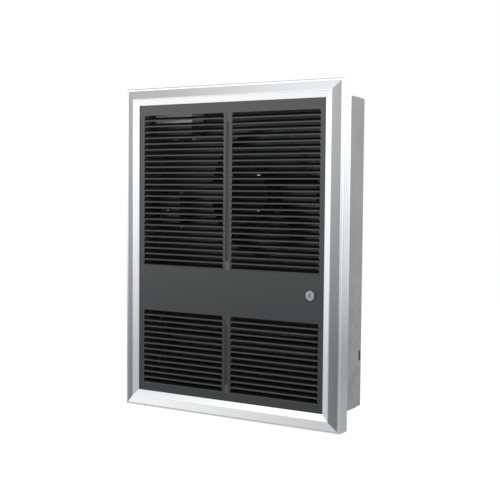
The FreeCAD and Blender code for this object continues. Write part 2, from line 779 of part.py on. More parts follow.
hub = rod(fan_x, hub_front_y, fan_z, y_axis, hub_radius, hub_length)
spider = rod(fan_x, fan_mid_y - spider_sheet / 2, fan_z, y_axis, spider_radius, spider_sheet)
set_screw_y = hub_front_y + hub_length / 4
set_screw_hole = blind_hole(fan_x, set_screw_y, fan_z, z_axis, set_screw_radius, hub_radius + overrun)
hub_bore = rod(
    fan_x, hub_front_y - overrun, fan_z, y_axis, shaft_radius + press_gap, hub_length + 2 * overrun,
)
fan_sheets = [hub, spider] + [fan_blade(number) for number in range(blade_count)]
save("fan", joined(fan_sheets).cut([set_screw_hole, hub_bore]))
set_screw_low = fan_z + shaft_radius + press_gap
set_screw_top = fan_z + hub_radius
set_screw_length = set_screw_top - set_screw_low
set_screw = rod(fan_x, set_screw_y, set_screw_low, z_axis, set_screw_radius, set_screw_length)
socket_low = set_screw_top - set_screw_radius
socket = rod(fan_x, set_screw_y, socket_low, z_axis, set_screw_radius * socket_share, hub_radius)
save("fan_set_screw", set_screw.cut(socket))


# Heating elements: two hairpins of sheathed tube with pressed-on fins
tube_right = support_x + box_sheet + element_tail
tube_left = -tube_right


def finned_leg(height):
    outline = [(tube_left, 0), (tube_left, tube_radius)]
    for number in range(fin_count):
        near = fin_start + number * fin_pitch + (fin_pitch - fin_sheet) / 2
        far = near + fin_sheet
        outline += [(near, tube_radius), (near, fin_radius), (far, fin_radius), (far, tube_radius)]
    outline += [(tube_right, tube_radius), (tube_right, 0)]
    section = [Vector(x, element_y, height + radius) for x, radius in outline]
    face = Part.Face(Part.makePolygon(section + section[:1]))
    return face.revolve(Vector(0, element_y, height), x_axis, 360)


def hairpin(upper_leg, lower_leg):
    mid = Vector(tube_left, element_y, (upper_leg + lower_leg) / 2)
    end = Part.Circle(Vector(tube_left, element_y, upper_leg), x_axis, tube_radius)
    bend = Part.Face(Part.Wire(end.toShape())).revolve(mid, y_axis, -180)
    pins = [rod(tube_right, element_y, z, x_axis, pin_radius, pin_length) for z in (upper_leg, lower_leg)]
    return finned_leg(upper_leg).multiFuse([finned_leg(lower_leg), bend] + pins)


def pin_nut(z):
    nut = rod(tube_right, element_y, z, x_axis, pin_nut_radius, pin_nut_length)
    return nut.cut(rod(tube_right, element_y, z, x_axis, pin_radius + press_gap, pin_nut_length))


def element_support(side):
    """Sheet end plate that the tubes pass through, with a foot screwed to the bottom of the box."""
    plate_x = sorted((side * support_x, side * (support_x + box_sheet)))
    foot_x = sorted((side * (support_x - support_flange), side * support_x))
    plate = slab(*plate_x, support_front_y, support_rear_y, -cap_inner, shelf_low - sheet_gap)
    foot = slab(*foot_x, support_front_y, support_rear_y, -cap_inner, box_sheet - cap_inner)
    holes = [through_hole(side * support_x, element_y, z, x_axis, tube_radius) for z in leg_levels]
    return joined([plate, foot]).cut(holes + cap_screw_holes)


leg_levels = [shelf_low - element_drop - number * leg_pitch for number in range(leg_count)]
save("element_upper", hairpin(*leg_levels[:2]))
save("element_lower", hairpin(*leg_levels[2:]))
save("element_nuts", [pin_nut(z) for z in leg_levels])
save("element_support_left", element_support(-1))
save("element_support_right", element_support(1))
save("support_screws", [
    small_screw(x, y, box_sheet - cap_inner, z_axis, small_screw_length)
    for x, y in support_screw_spots
])


# Thermostat: its bushing passes the blank band and a nut clamps it there
case_right = side_inner - box_front_lip - thermostat_lip_gap
case_left = case_right - thermostat_width
case_low = thermostat_z - thermostat_tall / 2
case_rear_y = grille_rear_y + thermostat_deep
case = slab(case_left, case_right, grille_rear_y, case_rear_y, case_low, case_low + thermostat_tall)
bushing_rear_y = grille_rear_y + spindle_inside
bushing_front_y = grille_front_y - bushing_proud
case_bore = blind_hole(
    thermostat_x, grille_rear_y - overrun, thermostat_z, y_axis, bushing_radius, spindle_inside + overrun,
)
save("thermostat_case", case.cut(case_bore))
save("thermostat_bushing", ring_y(
    thermostat_x, bushing_front_y, bushing_rear_y, thermostat_z, spindle_radius + running_gap, bushing_radius,
))
nut_front_y = grille_front_y - thermostat_nut_length
save("thermostat_nut", hex_nut(
    thermostat_x, nut_front_y, grille_front_y, thermostat_z, bushing_radius, thermostat_nut_wall,
))
spindle_front_y = bushing_front_y - spindle_proud
spindle_length = bushing_rear_y - spindle_front_y
spindle = rod(thermostat_x, spindle_front_y, thermostat_z, y_axis, spindle_radius, spindle_length)
spindle_slot = slab(
    thermostat_x - spindle_slot_width / 2, thermostat_x + spindle_slot_width / 2,
    spindle_front_y - overrun, spindle_front_y + spindle_slot_depth,
    thermostat_z - 2 * spindle_radius, thermostat_z + 2 * spindle_radius,
)
save("thermostat_spindle", spindle.cut(spindle_slot))
case_mid = (case_left + case_right) / 2
thermostat_terminal = (y_axis, thermostat_terminal_radius, thermostat_terminal_height)
save("thermostat_terminals", [
    rod(
        case_mid + side * thermostat_width / 4, case_rear_y,
        thermostat_z + level * thermostat_tall / 4, *thermostat_terminal,
    )
    for side, level in corner_signs()
])


# Disconnect switch: a toggle switch held in a hat bracket on the panel
plate_rear_y = panel_front_y - switch_standoff
plate_front_y = plate_rear_y - bracket_sheet
switch_bushing_bore = toggle_ball_radius + sheet_gap
switch_bushing_radius = switch_bushing_bore + switch_bushing_wall
hat_leg_inner = switch_bracket_span / 2
half_hat = [(hat_leg_inner, plate_rear_y), (hat_leg_inner, panel_front_y), (hat_foot_end, panel_front_y)]
half_hat += [(hat_foot_end, foot_front_y), (hat_leg_outer, foot_front_y), (hat_leg_outer, plate_front_y)]
hat_outline = [(y, switch_z + w) for w, y in half_hat]
hat_outline += [(y, switch_z - w) for w, y in reversed(half_hat)]
hat = prism_x(hat_outline, switch_x - switch_bracket_width / 2, switch_x + switch_bracket_width / 2)
hat_cuts = [through_hole(switch_x, plate_front_y, switch_z, y_axis, switch_bushing_radius)]
for x, z in switch_screw_spots:
    hat_cuts.append(through_hole(x, foot_front_y, z, y_axis, small_screw_radius))
save("switch_bracket", hat.cut(hat_cuts))
save("switch_screws", [
    small_screw(x, foot_front_y, z, -y_axis, small_screw_length)
    for x, z in switch_screw_spots
])

switch_left = switch_x - switch_body_width / 2
switch_low = switch_z - switch_body_tall / 2
switch_rear_y = plate_rear_y + switch_body_deep
switch_case = slab(
    switch_left, switch_left + switch_body_width, plate_rear_y, switch_rear_y,
    switch_low, switch_low + switch_body_tall,
)
neck_front_y = plate_front_y - switch_bushing_length
neck_length = plate_rear_y - neck_front_y
neck = rod(switch_x, neck_front_y, switch_z, y_axis, switch_bushing_radius, neck_length)
toggle_pivot_y = neck_front_y + toggle_ball_radius
toggle_bore_length = 2 * toggle_ball_radius + sheet_gap + overrun
toggle_bore = rod(switch_x, neck_front_y - overrun, switch_z, y_axis, switch_bushing_bore, toggle_bore_length)
save("switch_body", joined([switch_case, neck]).cut(toggle_bore))
save("switch_nut", hex_nut(
    switch_x, plate_front_y - switch_nut_length, plate_front_y, switch_z,
    switch_bushing_radius, switch_nut_wall,
))
pivot = Vector(switch_x, toggle_pivot_y, switch_z)
ball = Part.makeSphere(toggle_ball_radius, pivot)
bat = Part.makeCone(toggle_root_radius, toggle_tip_radius, toggle_length, pivot, -y_axis)
bat_end = Part.makeSphere(toggle_tip_radius, pivot - y_axis * toggle_length)
toggle = joined([ball, bat, bat_end])
toggle.rotate(pivot, x_axis, -toggle_throw)
save("switch_toggle", toggle)


# Supply terminals: a moulded block beneath a folded wiring cover
block_right = block_left + terminal_width
block_top = block_low + terminal_tall
block_front_y = panel_front_y - terminal_deep
block = slab(block_left, block_right, block_front_y, panel_front_y, block_low, block_top)
pole_step = terminal_width / terminal_poles
pole_xs = [block_left + pole_step / 2 + number * pole_step for number in range(terminal_poles)]
well_half = pole_step / 2 - terminal_wall
well_floor_y = panel_front_y - terminal_deep / 2
well_span = (block_front_y - overrun, well_floor_y, block_low - overrun, block_top + overrun)
wells = [slab(x - well_half, x + well_half, *well_span) for x in pole_xs]
pole_spots = [(x, terminal_z + level * terminal_tall / 4) for x in pole_xs for level in (-1, 1)]
pole_bite = terminal_deep / 4
pole_holes = [
    blind_hole(x, well_floor_y - overrun, z, y_axis, small_screw_radius, pole_bite + overrun)
    for x, z in pole_spots
]
save("terminal_block", block.cut(wells + pole_holes))
save("terminal_screws", [small_screw(x, well_floor_y, z, -y_axis, pole_bite) for x, z in pole_spots])
save("ground_screw", small_screw(ground_spot[0], panel_front_y, ground_spot[1], -y_axis, small_screw_length))

tab_front_y = panel_front_y - panel_sheet
cover_sheets = [
    slab(cover_left, cover_right, cover_front_y, cover_front_y + panel_sheet, cover_low, cover_top),
    slab(cover_left, cover_right, cover_front_y, panel_front_y, cover_low, cover_low + panel_sheet),
    slab(cover_right - panel_sheet, cover_right, cover_front_y, panel_front_y, cover_low, cover_top),
    slab(cover_left, cover_right, tab_front_y, panel_front_y, cover_low - wiring_cover_tab, cover_low),
]
tab_holes = [through_hole(x, panel_front_y, z, y_axis, small_screw_radius) for x, z in wiring_screw_spots]
save("wiring_cover", joined(cover_sheets).cut(tab_holes))
save("wiring_cover_screws", [
    small_screw(x, tab_front_y, z, -y_axis, small_screw_length)
    for x, z in wiring_screw_spots
])


# Snap-disc controls: the over-heat limit and the fan delay, screwed down on the shelf
def snap_disc(x):
    flange_front = disc_y - disc_flange_width / 2
    flange_span = (flange_front, flange_front + disc_flange_width, shelf_top, disc_flange_top)
    solids = [slab(x - disc_flange_half, x + disc_flange_half, *flange_span)]
    solids.append(rod(x, disc_y, shelf_top, z_axis, disc_radius, disc_height))
    spade_front = disc_y - disc_spade_width / 2
    spade_low = shelf_top + disc_height
    spade_span = (spade_front, spade_front + disc_spade_width, spade_low, spade_low + disc_spade_height)
    for side in (-1, 1):
        spade_left = x + side * disc_radius / 2 - disc_spade_sheet / 2
        solids.append(slab(spade_left, spade_left + disc_spade_sheet, *spade_span))
    return joined(solids).cut(disc_screw_holes)


disc_flange_top = shelf_top + disc_flange_sheet
save("limit_switch", snap_disc(limit_side))
save("fan_delay_switch", snap_disc(fan_delay_side))
save("disc_screws", [
    small_screw(x, disc_y, disc_flange_top, z_axis, small_screw_length)
    for x in disc_screw_xs
])
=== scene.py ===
import bmesh
import bpy
import json
import math
from mathutils import Matrix, Vector


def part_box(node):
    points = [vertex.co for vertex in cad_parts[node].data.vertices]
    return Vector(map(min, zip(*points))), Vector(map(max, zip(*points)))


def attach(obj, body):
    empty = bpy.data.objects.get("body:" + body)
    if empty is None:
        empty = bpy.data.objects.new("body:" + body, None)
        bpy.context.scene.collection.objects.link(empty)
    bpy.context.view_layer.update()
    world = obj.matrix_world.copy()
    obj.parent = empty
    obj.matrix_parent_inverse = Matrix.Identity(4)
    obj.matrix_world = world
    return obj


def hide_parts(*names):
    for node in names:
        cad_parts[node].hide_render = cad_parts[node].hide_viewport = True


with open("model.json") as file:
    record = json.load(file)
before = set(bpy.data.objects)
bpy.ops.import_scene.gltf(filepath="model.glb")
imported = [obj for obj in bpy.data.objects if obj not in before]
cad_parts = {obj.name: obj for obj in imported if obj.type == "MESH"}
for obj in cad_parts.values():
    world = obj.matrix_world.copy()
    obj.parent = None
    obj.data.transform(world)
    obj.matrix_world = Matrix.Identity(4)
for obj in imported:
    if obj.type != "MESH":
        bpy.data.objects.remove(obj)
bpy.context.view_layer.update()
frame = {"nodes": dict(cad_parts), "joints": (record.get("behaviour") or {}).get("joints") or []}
nodes = frame["nodes"]
mm = 0.001


# Wall box: three pieces folded from galvanised steel sheet, spot welded, and let into the wall.
# The hot-dip zinc has frozen into faint crystals, so the sheet is a dull and slightly mottled grey.
def feed(tree, socket, value):
    """Sets a socket to a plain value, or links it where the value is another node's socket."""
    if isinstance(value, bpy.types.NodeSocket):
        tree.links.new(value, socket)
    else:
        socket.default_value = value


def put(tree, kind, settings=None, **inputs):
    """Adds a node; settings are its properties, inputs are sockets with _ for each space."""
    node = tree.nodes.new(kind)
    for name, value in (settings or {}).items():
        setattr(node, name, value)
    for name, value in inputs.items():
        feed(tree, node.inputs[name.replace("_", " ")], value)
    return node


def maths(tree, operation, first, second, kind="ShaderNodeMath"):
    """Adds a node that works on two numbers, or on two vectors, and returns its result."""
    node = put(tree, kind, {"operation": operation})
    feed(tree, node.inputs[0], first)
    feed(tree, node.inputs[1], second)
    return node.outputs[0]


def mixed(tree, share, first, second, blend="MIX"):
    """Mixes two colours; a mix node has its colours on inputs 6 and 7 and on output 2."""
    node = put(tree, "ShaderNodeMix", {"data_type": "RGBA", "blend_type": blend})
    for index, value in ((0, share), (6, first), (7, second)):
        feed(tree, node.inputs[index], value)
    return node.outputs[2]


def spread(tree, value, low, high):
    """Stretches a value that runs over the middle of 0 to 1 to lie between low and high."""
    node = put(tree, "ShaderNodeMapRange", Value=value, From_Min=0.3, From_Max=0.7, To_Min=low, To_Max=high)
    return node.outputs[0]


def new_group(name, kind, inputs, outputs):
    tree = bpy.data.node_groups.new(name, kind)
    for label, socket, default in inputs:
        made = tree.interface.new_socket(name=label, in_out="INPUT", socket_type="NodeSocket" + socket)
        if default is not None:
            made.default_value = default
    for label, socket in outputs:
        tree.interface.new_socket(name=label, in_out="OUTPUT", socket_type="NodeSocket" + socket)
    return tree, tree.nodes.new("NodeGroupInput").outputs, tree.nodes.new("NodeGroupOutput")


def make_grain_group():
    """Noise drawn out along a direction: rolling marks, die lines, orange peel or soft patches."""
    tree, given, end = new_group(
        "surface_grain", "ShaderNodeTree",
        [("Vector", "Vector", None), ("Stretch", "Vector", (1, 1, 1)), ("Scale", "Float", 100.0),
         ("Detail", "Float", 3.0)],
        [("Grain", "Float")],
    )
    drawn = maths(tree, "MULTIPLY", given["Vector"], given["Stretch"], "ShaderNodeVectorMath")
    noise = put(tree, "ShaderNodeTexNoise", Vector=drawn, Scale=given["Scale"], Detail=given["Detail"])
    tree.links.new(noise.outputs[0], end.inputs["Grain"])
    return tree


def make_crystal_group():
    """Zinc crystals: cells of random tone with ragged borders."""
    tree, given, end = new_group(
        "zinc_crystals", "ShaderNodeTree",
        [("Vector", "Vector", None), ("Scale", "Float", 80.0), ("Ragged", "Float", 0.004)],
        [("Tone", "Float")],
    )
    warp = put(tree, "ShaderNodeTexNoise", Vector=given["Vector"], Scale=240.0, Detail=4.0)
    nudge = put(tree, "ShaderNodeVectorMath", {"operation": "SCALE"}, Scale=given["Ragged"])
    tree.links.new(warp.outputs[1], nudge.inputs[0])
    moved = maths(tree, "ADD", given["Vector"], nudge.outputs[0], "ShaderNodeVectorMath")
    cells = put(tree, "ShaderNodeTexVoronoi", Vector=moved, Scale=given["Scale"])
    tone = put(tree, "ShaderNodeSeparateColor", Color=cells.outputs["Color"])
    tree.links.new(tone.outputs[0], end.inputs["Tone"])
    return tree


surface_grain = make_grain_group()
zinc_crystals = make_crystal_group()


def place_on(tree):
    """Where a point lies in the object's own frame."""
    return put(tree, "ShaderNodeTexCoord").outputs["Object"]


def grain_of(tree, stretch, scale, detail=3.0):
    node = put(tree, "ShaderNodeGroup", {"node_tree": surface_grain})
    settings = {"Vector": place_on(tree), "Stretch": stretch, "Scale": scale, "Detail": detail}
    for name, value in settings.items():
        feed(tree, node.inputs[name], value)
    return node.outputs["Grain"]


def shader_of(material):
    return material.node_tree.nodes["Principled BSDF"]


def finish_of(name, light, dark, rough, scale, stretch=(1, 1, 1), patch_scale=14.0, metallic=1.0, bump=0.1):
    """Material whose colour drifts from light to dark in soft patches.

    Fine marks, of a scale and a stretch, move the roughness between the two values of rough and raise a bump.
    """
    mark_height = 0.2 * mm
    material = bpy.data.materials.new(name)
    material.use_nodes = True
    tree = material.node_tree
    shader = shader_of(material)
    marks = grain_of(tree, stretch, scale)
    patches = grain_of(tree, (1, 1, 1), patch_scale, 2.0)
    colour = mixed(tree, spread(tree, patches, 0, 1), (*light, 1), (*dark, 1))
    raised = put(tree, "ShaderNodeBump", Height=marks, Strength=bump, Distance=mark_height)
    feed(tree, shader.inputs["Base Color"], colour)
    feed(tree, shader.inputs["Roughness"], spread(tree, marks, *rough))
    feed(tree, shader.inputs["Normal"], raised.outputs[0])
    shader.inputs["Metallic"].default_value = metallic
    return material


def colour_under(material):
    """The socket that now feeds a material's base colour, for another layer to go over it."""
    return shader_of(material).inputs["Base Color"].links[0].from_socket


def dress(material, *names):
    """Gives CAD nodes their finished surface."""
    for name in names:
        slots = nodes[name].data.materials
        slots.clear()
        slots.append(material)


crystals_per_metre = 70.0
crystal_shade = (0.88, 0.89, 0.90, 1)
crystal_clear = (1, 1, 1, 1)
crystal_rough = (0.47, 0.56)
galvanised = finish_of("galvanised", (0.395, 0.397, 0.40), (0.355, 0.357, 0.36), (0.46, 0.60), 900.0)
zinc_tree = galvanised.node_tree
zinc_shader = shader_of(galvanised)
crystal = put(zinc_tree, "ShaderNodeGroup", {"node_tree": zinc_crystals})
feed(zinc_tree, crystal.inputs["Vector"], place_on(zinc_tree))
feed(zinc_tree, crystal.inputs["Scale"], crystals_per_metre)
crystal_tone = mixed(zinc_tree, crystal.outputs["Tone"], crystal_shade, crystal_clear)
zinc_colour = mixed(zinc_tree, 1.0, colour_under(galvanised), crystal_tone, "MULTIPLY")
feed(zinc_tree, zinc_shader.inputs["Base Color"], zinc_colour)
feed(zinc_tree, zinc_shader.inputs["Roughness"], spread(zinc_tree, crystal.outputs["Tone"], *crystal_rough))
dress(galvanised, "box_body", "box_top", "box_bottom")


# Fan panel: a sheet with the fan's collared orifice, bent to a shelf, on four small welded angles.
# The panel and what it carries are galvanised sheet, coloured much darker than the box as painted shade for
# the dim inside; the cover's fittings are not.
# The folded cover over the supply wires is zinc sheet, painted bright along its top as a highlight and dark
# below as painted shade.
# Painted shade: these inner sheets take a near-black galvanised colour so that the inside behind the grille
# looks dim.
shade_darkened_galvanised = finish_of("dulled_galvanised", (0.150, 0.148, 0.145), (0.110, 0.108, 0.105), (0.44, 0.60), 700.0)
dress(shade_darkened_galvanised, "fan_panel", "panel_brackets", "motor_strap", "element_support_left", "element_support_right")
dress(shade_darkened_galvanised, "switch_bracket")
dress(galvanised, "top_brackets", "cover_hooks", "bottom_bracket", "corner_keys")
zinc_painted_glint_and_shade = finish_of("bright_zinc_sheet", (0.91, 0.91, 0.91), (0.85, 0.85, 0.85), (0.20, 0.32), 600.0,
                        metallic=0.3)
# Painted light: a strip near the cover's top keeps the bright zinc colour as a painted glint, and everything
# below it takes a dark colour as painted shade.
painted_glint_height = 34 * mm
shade_to_glint_edge = 4 * mm
painted_shade_colour = (0.10, 0.097, 0.093, 1)
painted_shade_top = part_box("wiring_cover")[1].z - painted_glint_height
cover_tree = zinc_painted_glint_and_shade.node_tree
level_on_cover = put(cover_tree, "ShaderNodeSeparateXYZ", Vector=place_on(cover_tree)).outputs[2]
painted_glint_share = put(cover_tree, "ShaderNodeMapRange", Value=level_on_cover, From_Min=painted_shade_top,
                  From_Max=painted_shade_top + shade_to_glint_edge)
glint_over_shade = mixed(cover_tree, painted_glint_share.outputs[0], painted_shade_colour, colour_under(zinc_painted_glint_and_shade))
feed(cover_tree, shader_of(zinc_painted_glint_and_shade).inputs["Base Color"], glint_over_shade)
dress(zinc_painted_glint_and_shade, "wiring_cover")


# Motor: pressed steel bells in black enamel clamp a stack of oiled laminations with copper end windings.
# The shaft runs in bronze sleeves and four long bolts draw the bells together.
enamel_gloss = 0.2
enamel = finish_of("motor_enamel", (0.014, 0.014, 0.015), (0.010, 0.010, 0.011), (0.46, 0.60), 700.0,
                   metallic=0.0)
laminations = finish_of("laminations", (0.30, 0.30, 0.31), (0.22, 0.21, 0.21), (0.38, 0.55), 2600.0,
                        stretch=(0.02, 1, 0.02), bump=0.5)
copper = finish_of("winding_copper", (0.52, 0.24, 0.11), (0.36, 0.14, 0.06), (0.30, 0.45), 1500.0,
                   stretch=(1, 0.1, 1), bump=0.5)
bronze = finish_of("bearing_bronze", (0.58, 0.40, 0.20), (0.46, 0.31, 0.15), (0.36, 0.50), 2000.0)
ground_steel = finish_of("ground_steel", (0.58, 0.58, 0.60), (0.50, 0.50, 0.52), (0.16, 0.28), 1800.0,
                         stretch=(0.1, 1, 0.1))
shader_of(enamel).inputs["Specular IOR Level"].default_value = enamel_gloss
dress(enamel, "motor_rear_bell", "motor_front_bell")
dress(laminations, "motor_stator", "motor_rotor")
dress(copper, "motor_windings")
dress(bronze, "motor_bearings")
dress(ground_steel, "motor_shaft")


# Fan: five cambered aluminium blades stamped in one piece with their spider, riveted to a turned hub.
# Mill-finish sheet with rolling marks, coloured much darker than bare aluminium as painted shade for the dim
# inside, and a set screw that bites on the shaft.
joint_places = {joint["name"]: Vector(joint["pos_m"]) for joint in frame["joints"]}
fan_middle = joint_places["fan_spin"]
fan_blades = 5
fan_sheet = 1.4 * mm
fan_sides = 40
shaft_bore = 3.99 * mm
hub_radius = 12 * mm
hub_length = 24 * mm
hub_chamfer = 1 * mm
spider_radius = 32 * mm
spider_edge = 2 * mm
blade_root = 20 * mm
blade_reach = 100 * mm
blade_half_chord = 35 * mm
blade_camber = 4 * mm
blade_tilt = math.radians(25)
blade_steps = 12
root_chord_share = 0.62
full_chord_at = 0.625
tip_round_from = 0.78
tip_round_share = 0.5
root_camber_share = 0.4


def new_piece(name, mesh, material, body, slot, *stands_for):
    """Links a mesh as a finished piece that rides on a body and stands for CAD nodes."""
    piece = bpy.data.objects.new(name, mesh)
    bpy.context.scene.collection.objects.link(piece)
    mesh.materials.clear()
    mesh.materials.append(material)
    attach(piece, body)
    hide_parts(*stands_for)
    return piece


def smooth_between(mesh, crease):
    """Shades a mesh smooth with a sharp edge wherever it turns by more than the crease angle."""
    mesh.shade_smooth()
    mesh.set_sharp_from_angle(angle=math.radians(crease))


def mesh_from(build, crease=35):
    """Runs build on an empty bmesh and returns a smooth-shaded mesh with sharp creases."""
    shape = bmesh.new()
    build(shape)
    bmesh.ops.recalc_face_normals(shape, faces=shape.faces[:])
    mesh = bpy.data.meshes.new("shape")
    shape.to_mesh(mesh)
    shape.free()
    smooth_between(mesh, crease)
    return mesh


def skin(shape, rings, closed=True, round_trip=False):
    """Quads between rings of points; closed joins each ring's ends, round_trip the last ring to the first."""
    made = [[shape.verts.new(point) for point in ring] for ring in rings]
    pairs = list(zip(made, made[1:])) + ([(made[-1], made[0])] if round_trip else [])
    for first, second in pairs:
        count = len(first)
        for number in range(count if closed else count - 1):
            after = (number + 1) % count
            shape.faces.new((first[number], first[after], second[after], second[number]))
    return made


def lathe(shape, outline, centre, sides, axis="Y"):
    """Turns a closed outline of (radius, place along the axis) about the X or Y axis through centre."""
    rings = []
    for radius, along in outline:
        ring = []
        for number in range(sides):
            turn = 2 * math.pi * number / sides
            first, second = radius * math.cos(turn), radius * math.sin(turn)
            ring.append(centre + Vector((first, along, second) if axis == "Y" else (along, first, second)))
        rings.append(ring)
    skin(shape, rings, round_trip=True)


def blade_point(radius_share, chord_share):
    """Point of the blade's middle surface: rounded in plan, cambered and pitched, before the fan's turn."""
    radius = blade_root + (blade_reach - blade_root) * radius_share
    swell = math.sin(math.pi / 2 * min(1, radius_share / full_chord_at))
    widest = blade_half_chord * (root_chord_share + (1 - root_chord_share) * swell)
    corner = max(0, (radius_share - tip_round_from) / (1 - tip_round_from))
    across = widest * math.sqrt(1 - tip_round_share * corner ** 3) * chord_share
    radius = math.sqrt(max(radius ** 2 - across ** 2 * radius_share, (blade_root / 2) ** 2))
    depth_share = root_camber_share + (1 - root_camber_share) * radius_share
    camber = blade_camber * (1 - chord_share ** 2) * depth_share
    along = across * math.sin(blade_tilt) - camber * math.cos(blade_tilt)
    aside = across * math.cos(blade_tilt) + camber * math.sin(blade_tilt)
    return Vector((radius, -along, aside))


def build_blade(shape, turned):
    """The two faces of one blade, a sheet's thickness apart, and the strip that closes their edges."""
    shares = [number / blade_steps for number in range(blade_steps + 1)]
    edges = []
    for side in (-1, 1):
        lift = Vector((0, side * fan_sheet / 2, 0))
        rings = [
            [fan_middle + turned @ (blade_point(outward, 2 * across - 1) + lift) for across in shares]
            for outward in shares
        ]
        made = skin(shape, rings, closed=False)
        edge = made[0] + [ring[-1] for ring in made[1:-1]] + made[-1][::-1]
        edges.append(edge + [ring[0] for ring in made[-2:0:-1]])
    rear, front = edges
    for here in range(len(rear)):
        after = (here + 1) % len(rear)
        shape.faces.new((rear[here], rear[after], front[after], front[here]))


def build_fan(shape):
    """A turned hub, the flat spider round it and the blades."""
    end = hub_length / 2
    hub = [(shaft_bore, -end), (hub_radius - hub_chamfer, -end), (hub_radius, hub_chamfer - end)]
    hub += [(hub_radius, end - hub_chamfer), (hub_radius - hub_chamfer, end), (shaft_bore, end)]
    lathe(shape, hub, fan_middle, fan_sides)
    flat = spider_radius - spider_edge
    spider = [(hub_radius, -fan_sheet), (flat, -fan_sheet), (spider_radius, -fan_sheet / 2)]
    spider += [(spider_radius, fan_sheet / 2), (flat, fan_sheet), (hub_radius, fan_sheet)]
    lathe(shape, spider, fan_middle, fan_sides)
    for number in range(fan_blades):
        build_blade(shape, Matrix.Rotation(2 * math.pi * number / fan_blades, 4, "Y"))


# Painted shade: the fan takes a dark grey instead of bare aluminium so that it looks dim behind the grille.
mill_aluminium = finish_of("mill_aluminium", (0.16, 0.16, 0.158), (0.12, 0.12, 0.118), (0.40, 0.52), 1600.0,
                           stretch=(1, 1, 0.05))
new_piece("fan_wheel", mesh_from(build_fan), mill_aluminium, "fan_rotor", "fan_aluminium", "fan")
black_oxide = finish_of("black_oxide", (0.028, 0.028, 0.030), (0.018, 0.018, 0.019), (0.34, 0.5), 1500.0,
                        metallic=0.6)
dress(black_oxide, "fan_set_screw")


# Heating elements: two hairpins of sheathed steel tube with thin fins pressed on all along both legs.
# Plated steel that heat has browned, with a threaded pin and nut at each cold end.
element_low, element_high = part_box("element_upper")
element_y = (element_low.y + element_high.y) / 2
fin_radius = (element_high.y - element_low.y) / 2
leg_pitch = element_high.z - element_low.z - 2 * fin_radius
leg_reach = 151.85 * mm
tube_radius = 4 * mm
tube_sides = 20
bend_steps = 16
pin_end = element_high.x
pin_radius = 2.4 * mm
pin_core = 0.2 * mm
pin_chamfer = 0.5 * mm
pin_sides = 16
fin_count = 59
fin_pitch = 4.7 * mm
fin_sheet = 0.6 * mm
fin_sides = 20
fin_dish = 0.35 * mm
dish_share = 0.68
collar_length = 1.6 * mm
collar_wall = 0.4 * mm
collar_flare = 0.7 * mm


def settled(piece):
    """Turns a piece's live modifiers into plain mesh."""
    evaluated = piece.evaluated_get(bpy.context.evaluated_depsgraph_get())
    mesh = bpy.data.meshes.new_from_object(evaluated)
    piece.modifiers.clear()
    return mesh


def grow(tree, mesh, **sizes):
    """Runs a geometry tree on a mesh with its named inputs set, and returns the plain mesh it makes."""
    seed = bpy.data.objects.new("seed", mesh)
    bpy.context.scene.collection.objects.link(seed)
    modifier = seed.modifiers.new("grow", "NODES")
    modifier.node_group = tree
    for item in tree.interface.items_tree:
        name = item.name.replace(" ", "_")
        if item.in_out == "INPUT" and name in sizes:
            modifier[item.identifier] = sizes[name]
    made = settled(seed)
    bpy.data.objects.remove(seed)
    return made


def end_tree(tree, end, copies, material):
    """Ends a geometry tree: its copies become real mesh and take their material."""
    real = put(tree, "GeometryNodeRealizeInstances", Geometry=copies)
    painted = put(tree, "GeometryNodeSetMaterial", Geometry=real.outputs[0], Material=material)
    tree.links.new(painted.outputs[0], end.inputs[0])


def make_row_tree():
    """Repeats the shape that comes in, Count times, moved first by Start and then by Step each time."""
    tree, given, end = new_group(
        "repeated_row", "GeometryNodeTree",
        [("Geometry", "Geometry", None), ("Count", "Int", 2), ("Start", "Vector", (0.0, 0.0, 0.0)),
         ("Step", "Vector", (0.0, 0.0, 0.0)), ("Material", "Material", None)],
        [("Geometry", "Geometry")],
    )
    row = put(tree, "GeometryNodeMeshLine", Count=given["Count"], Start_Location=given["Start"],
              Offset=given["Step"])
    copies = put(tree, "GeometryNodeInstanceOnPoints", Points=row.outputs[0], Instance=given["Geometry"])
    end_tree(tree, end, copies.outputs[0], given["Material"])
    return tree


repeated_row = make_row_tree()


def tube_points(upper, lower):
    """Stations of the hairpin's tube as (middle, outward), from the upper cold end round to the lower one."""
    stations = [(Vector((leg_reach, element_y, upper)), Vector((0, 0, 1)))]
    middle = Vector((-leg_reach, element_y, (upper + lower) / 2))
    for step in range(bend_steps + 1):
        turn = math.pi * step / bend_steps
        out = Vector((-math.sin(turn), 0, math.cos(turn)))
        stations.append((middle + out * (upper - lower) / 2, out))
    stations.append((Vector((leg_reach, element_y, lower)), Vector((0, 0, -1))))
    return stations


def build_hairpin(upper):
    lower = upper - leg_pitch
    across = Vector((0, 1, 0))
    turns = [2 * math.pi * number / tube_sides for number in range(tube_sides)]

    def build(shape):
        rings = [
            [middle + (out * math.sin(turn) + across * math.cos(turn)) * tube_radius for turn in turns]
            for middle, out in tube_points(upper, lower)
        ]
        made = skin(shape, rings)
        for ring in (made[0], made[-1]):
            shape.faces.new(ring)
        outline = [(pin_core, leg_reach), (pin_radius, leg_reach), (pin_radius, pin_end - pin_chamfer)]
        outline += [(pin_radius - pin_chamfer, pin_end), (pin_core, pin_end)]
        for level in (upper, lower):
            lathe(shape, outline, Vector((0, element_y, level)), pin_sides, "X")
    return build


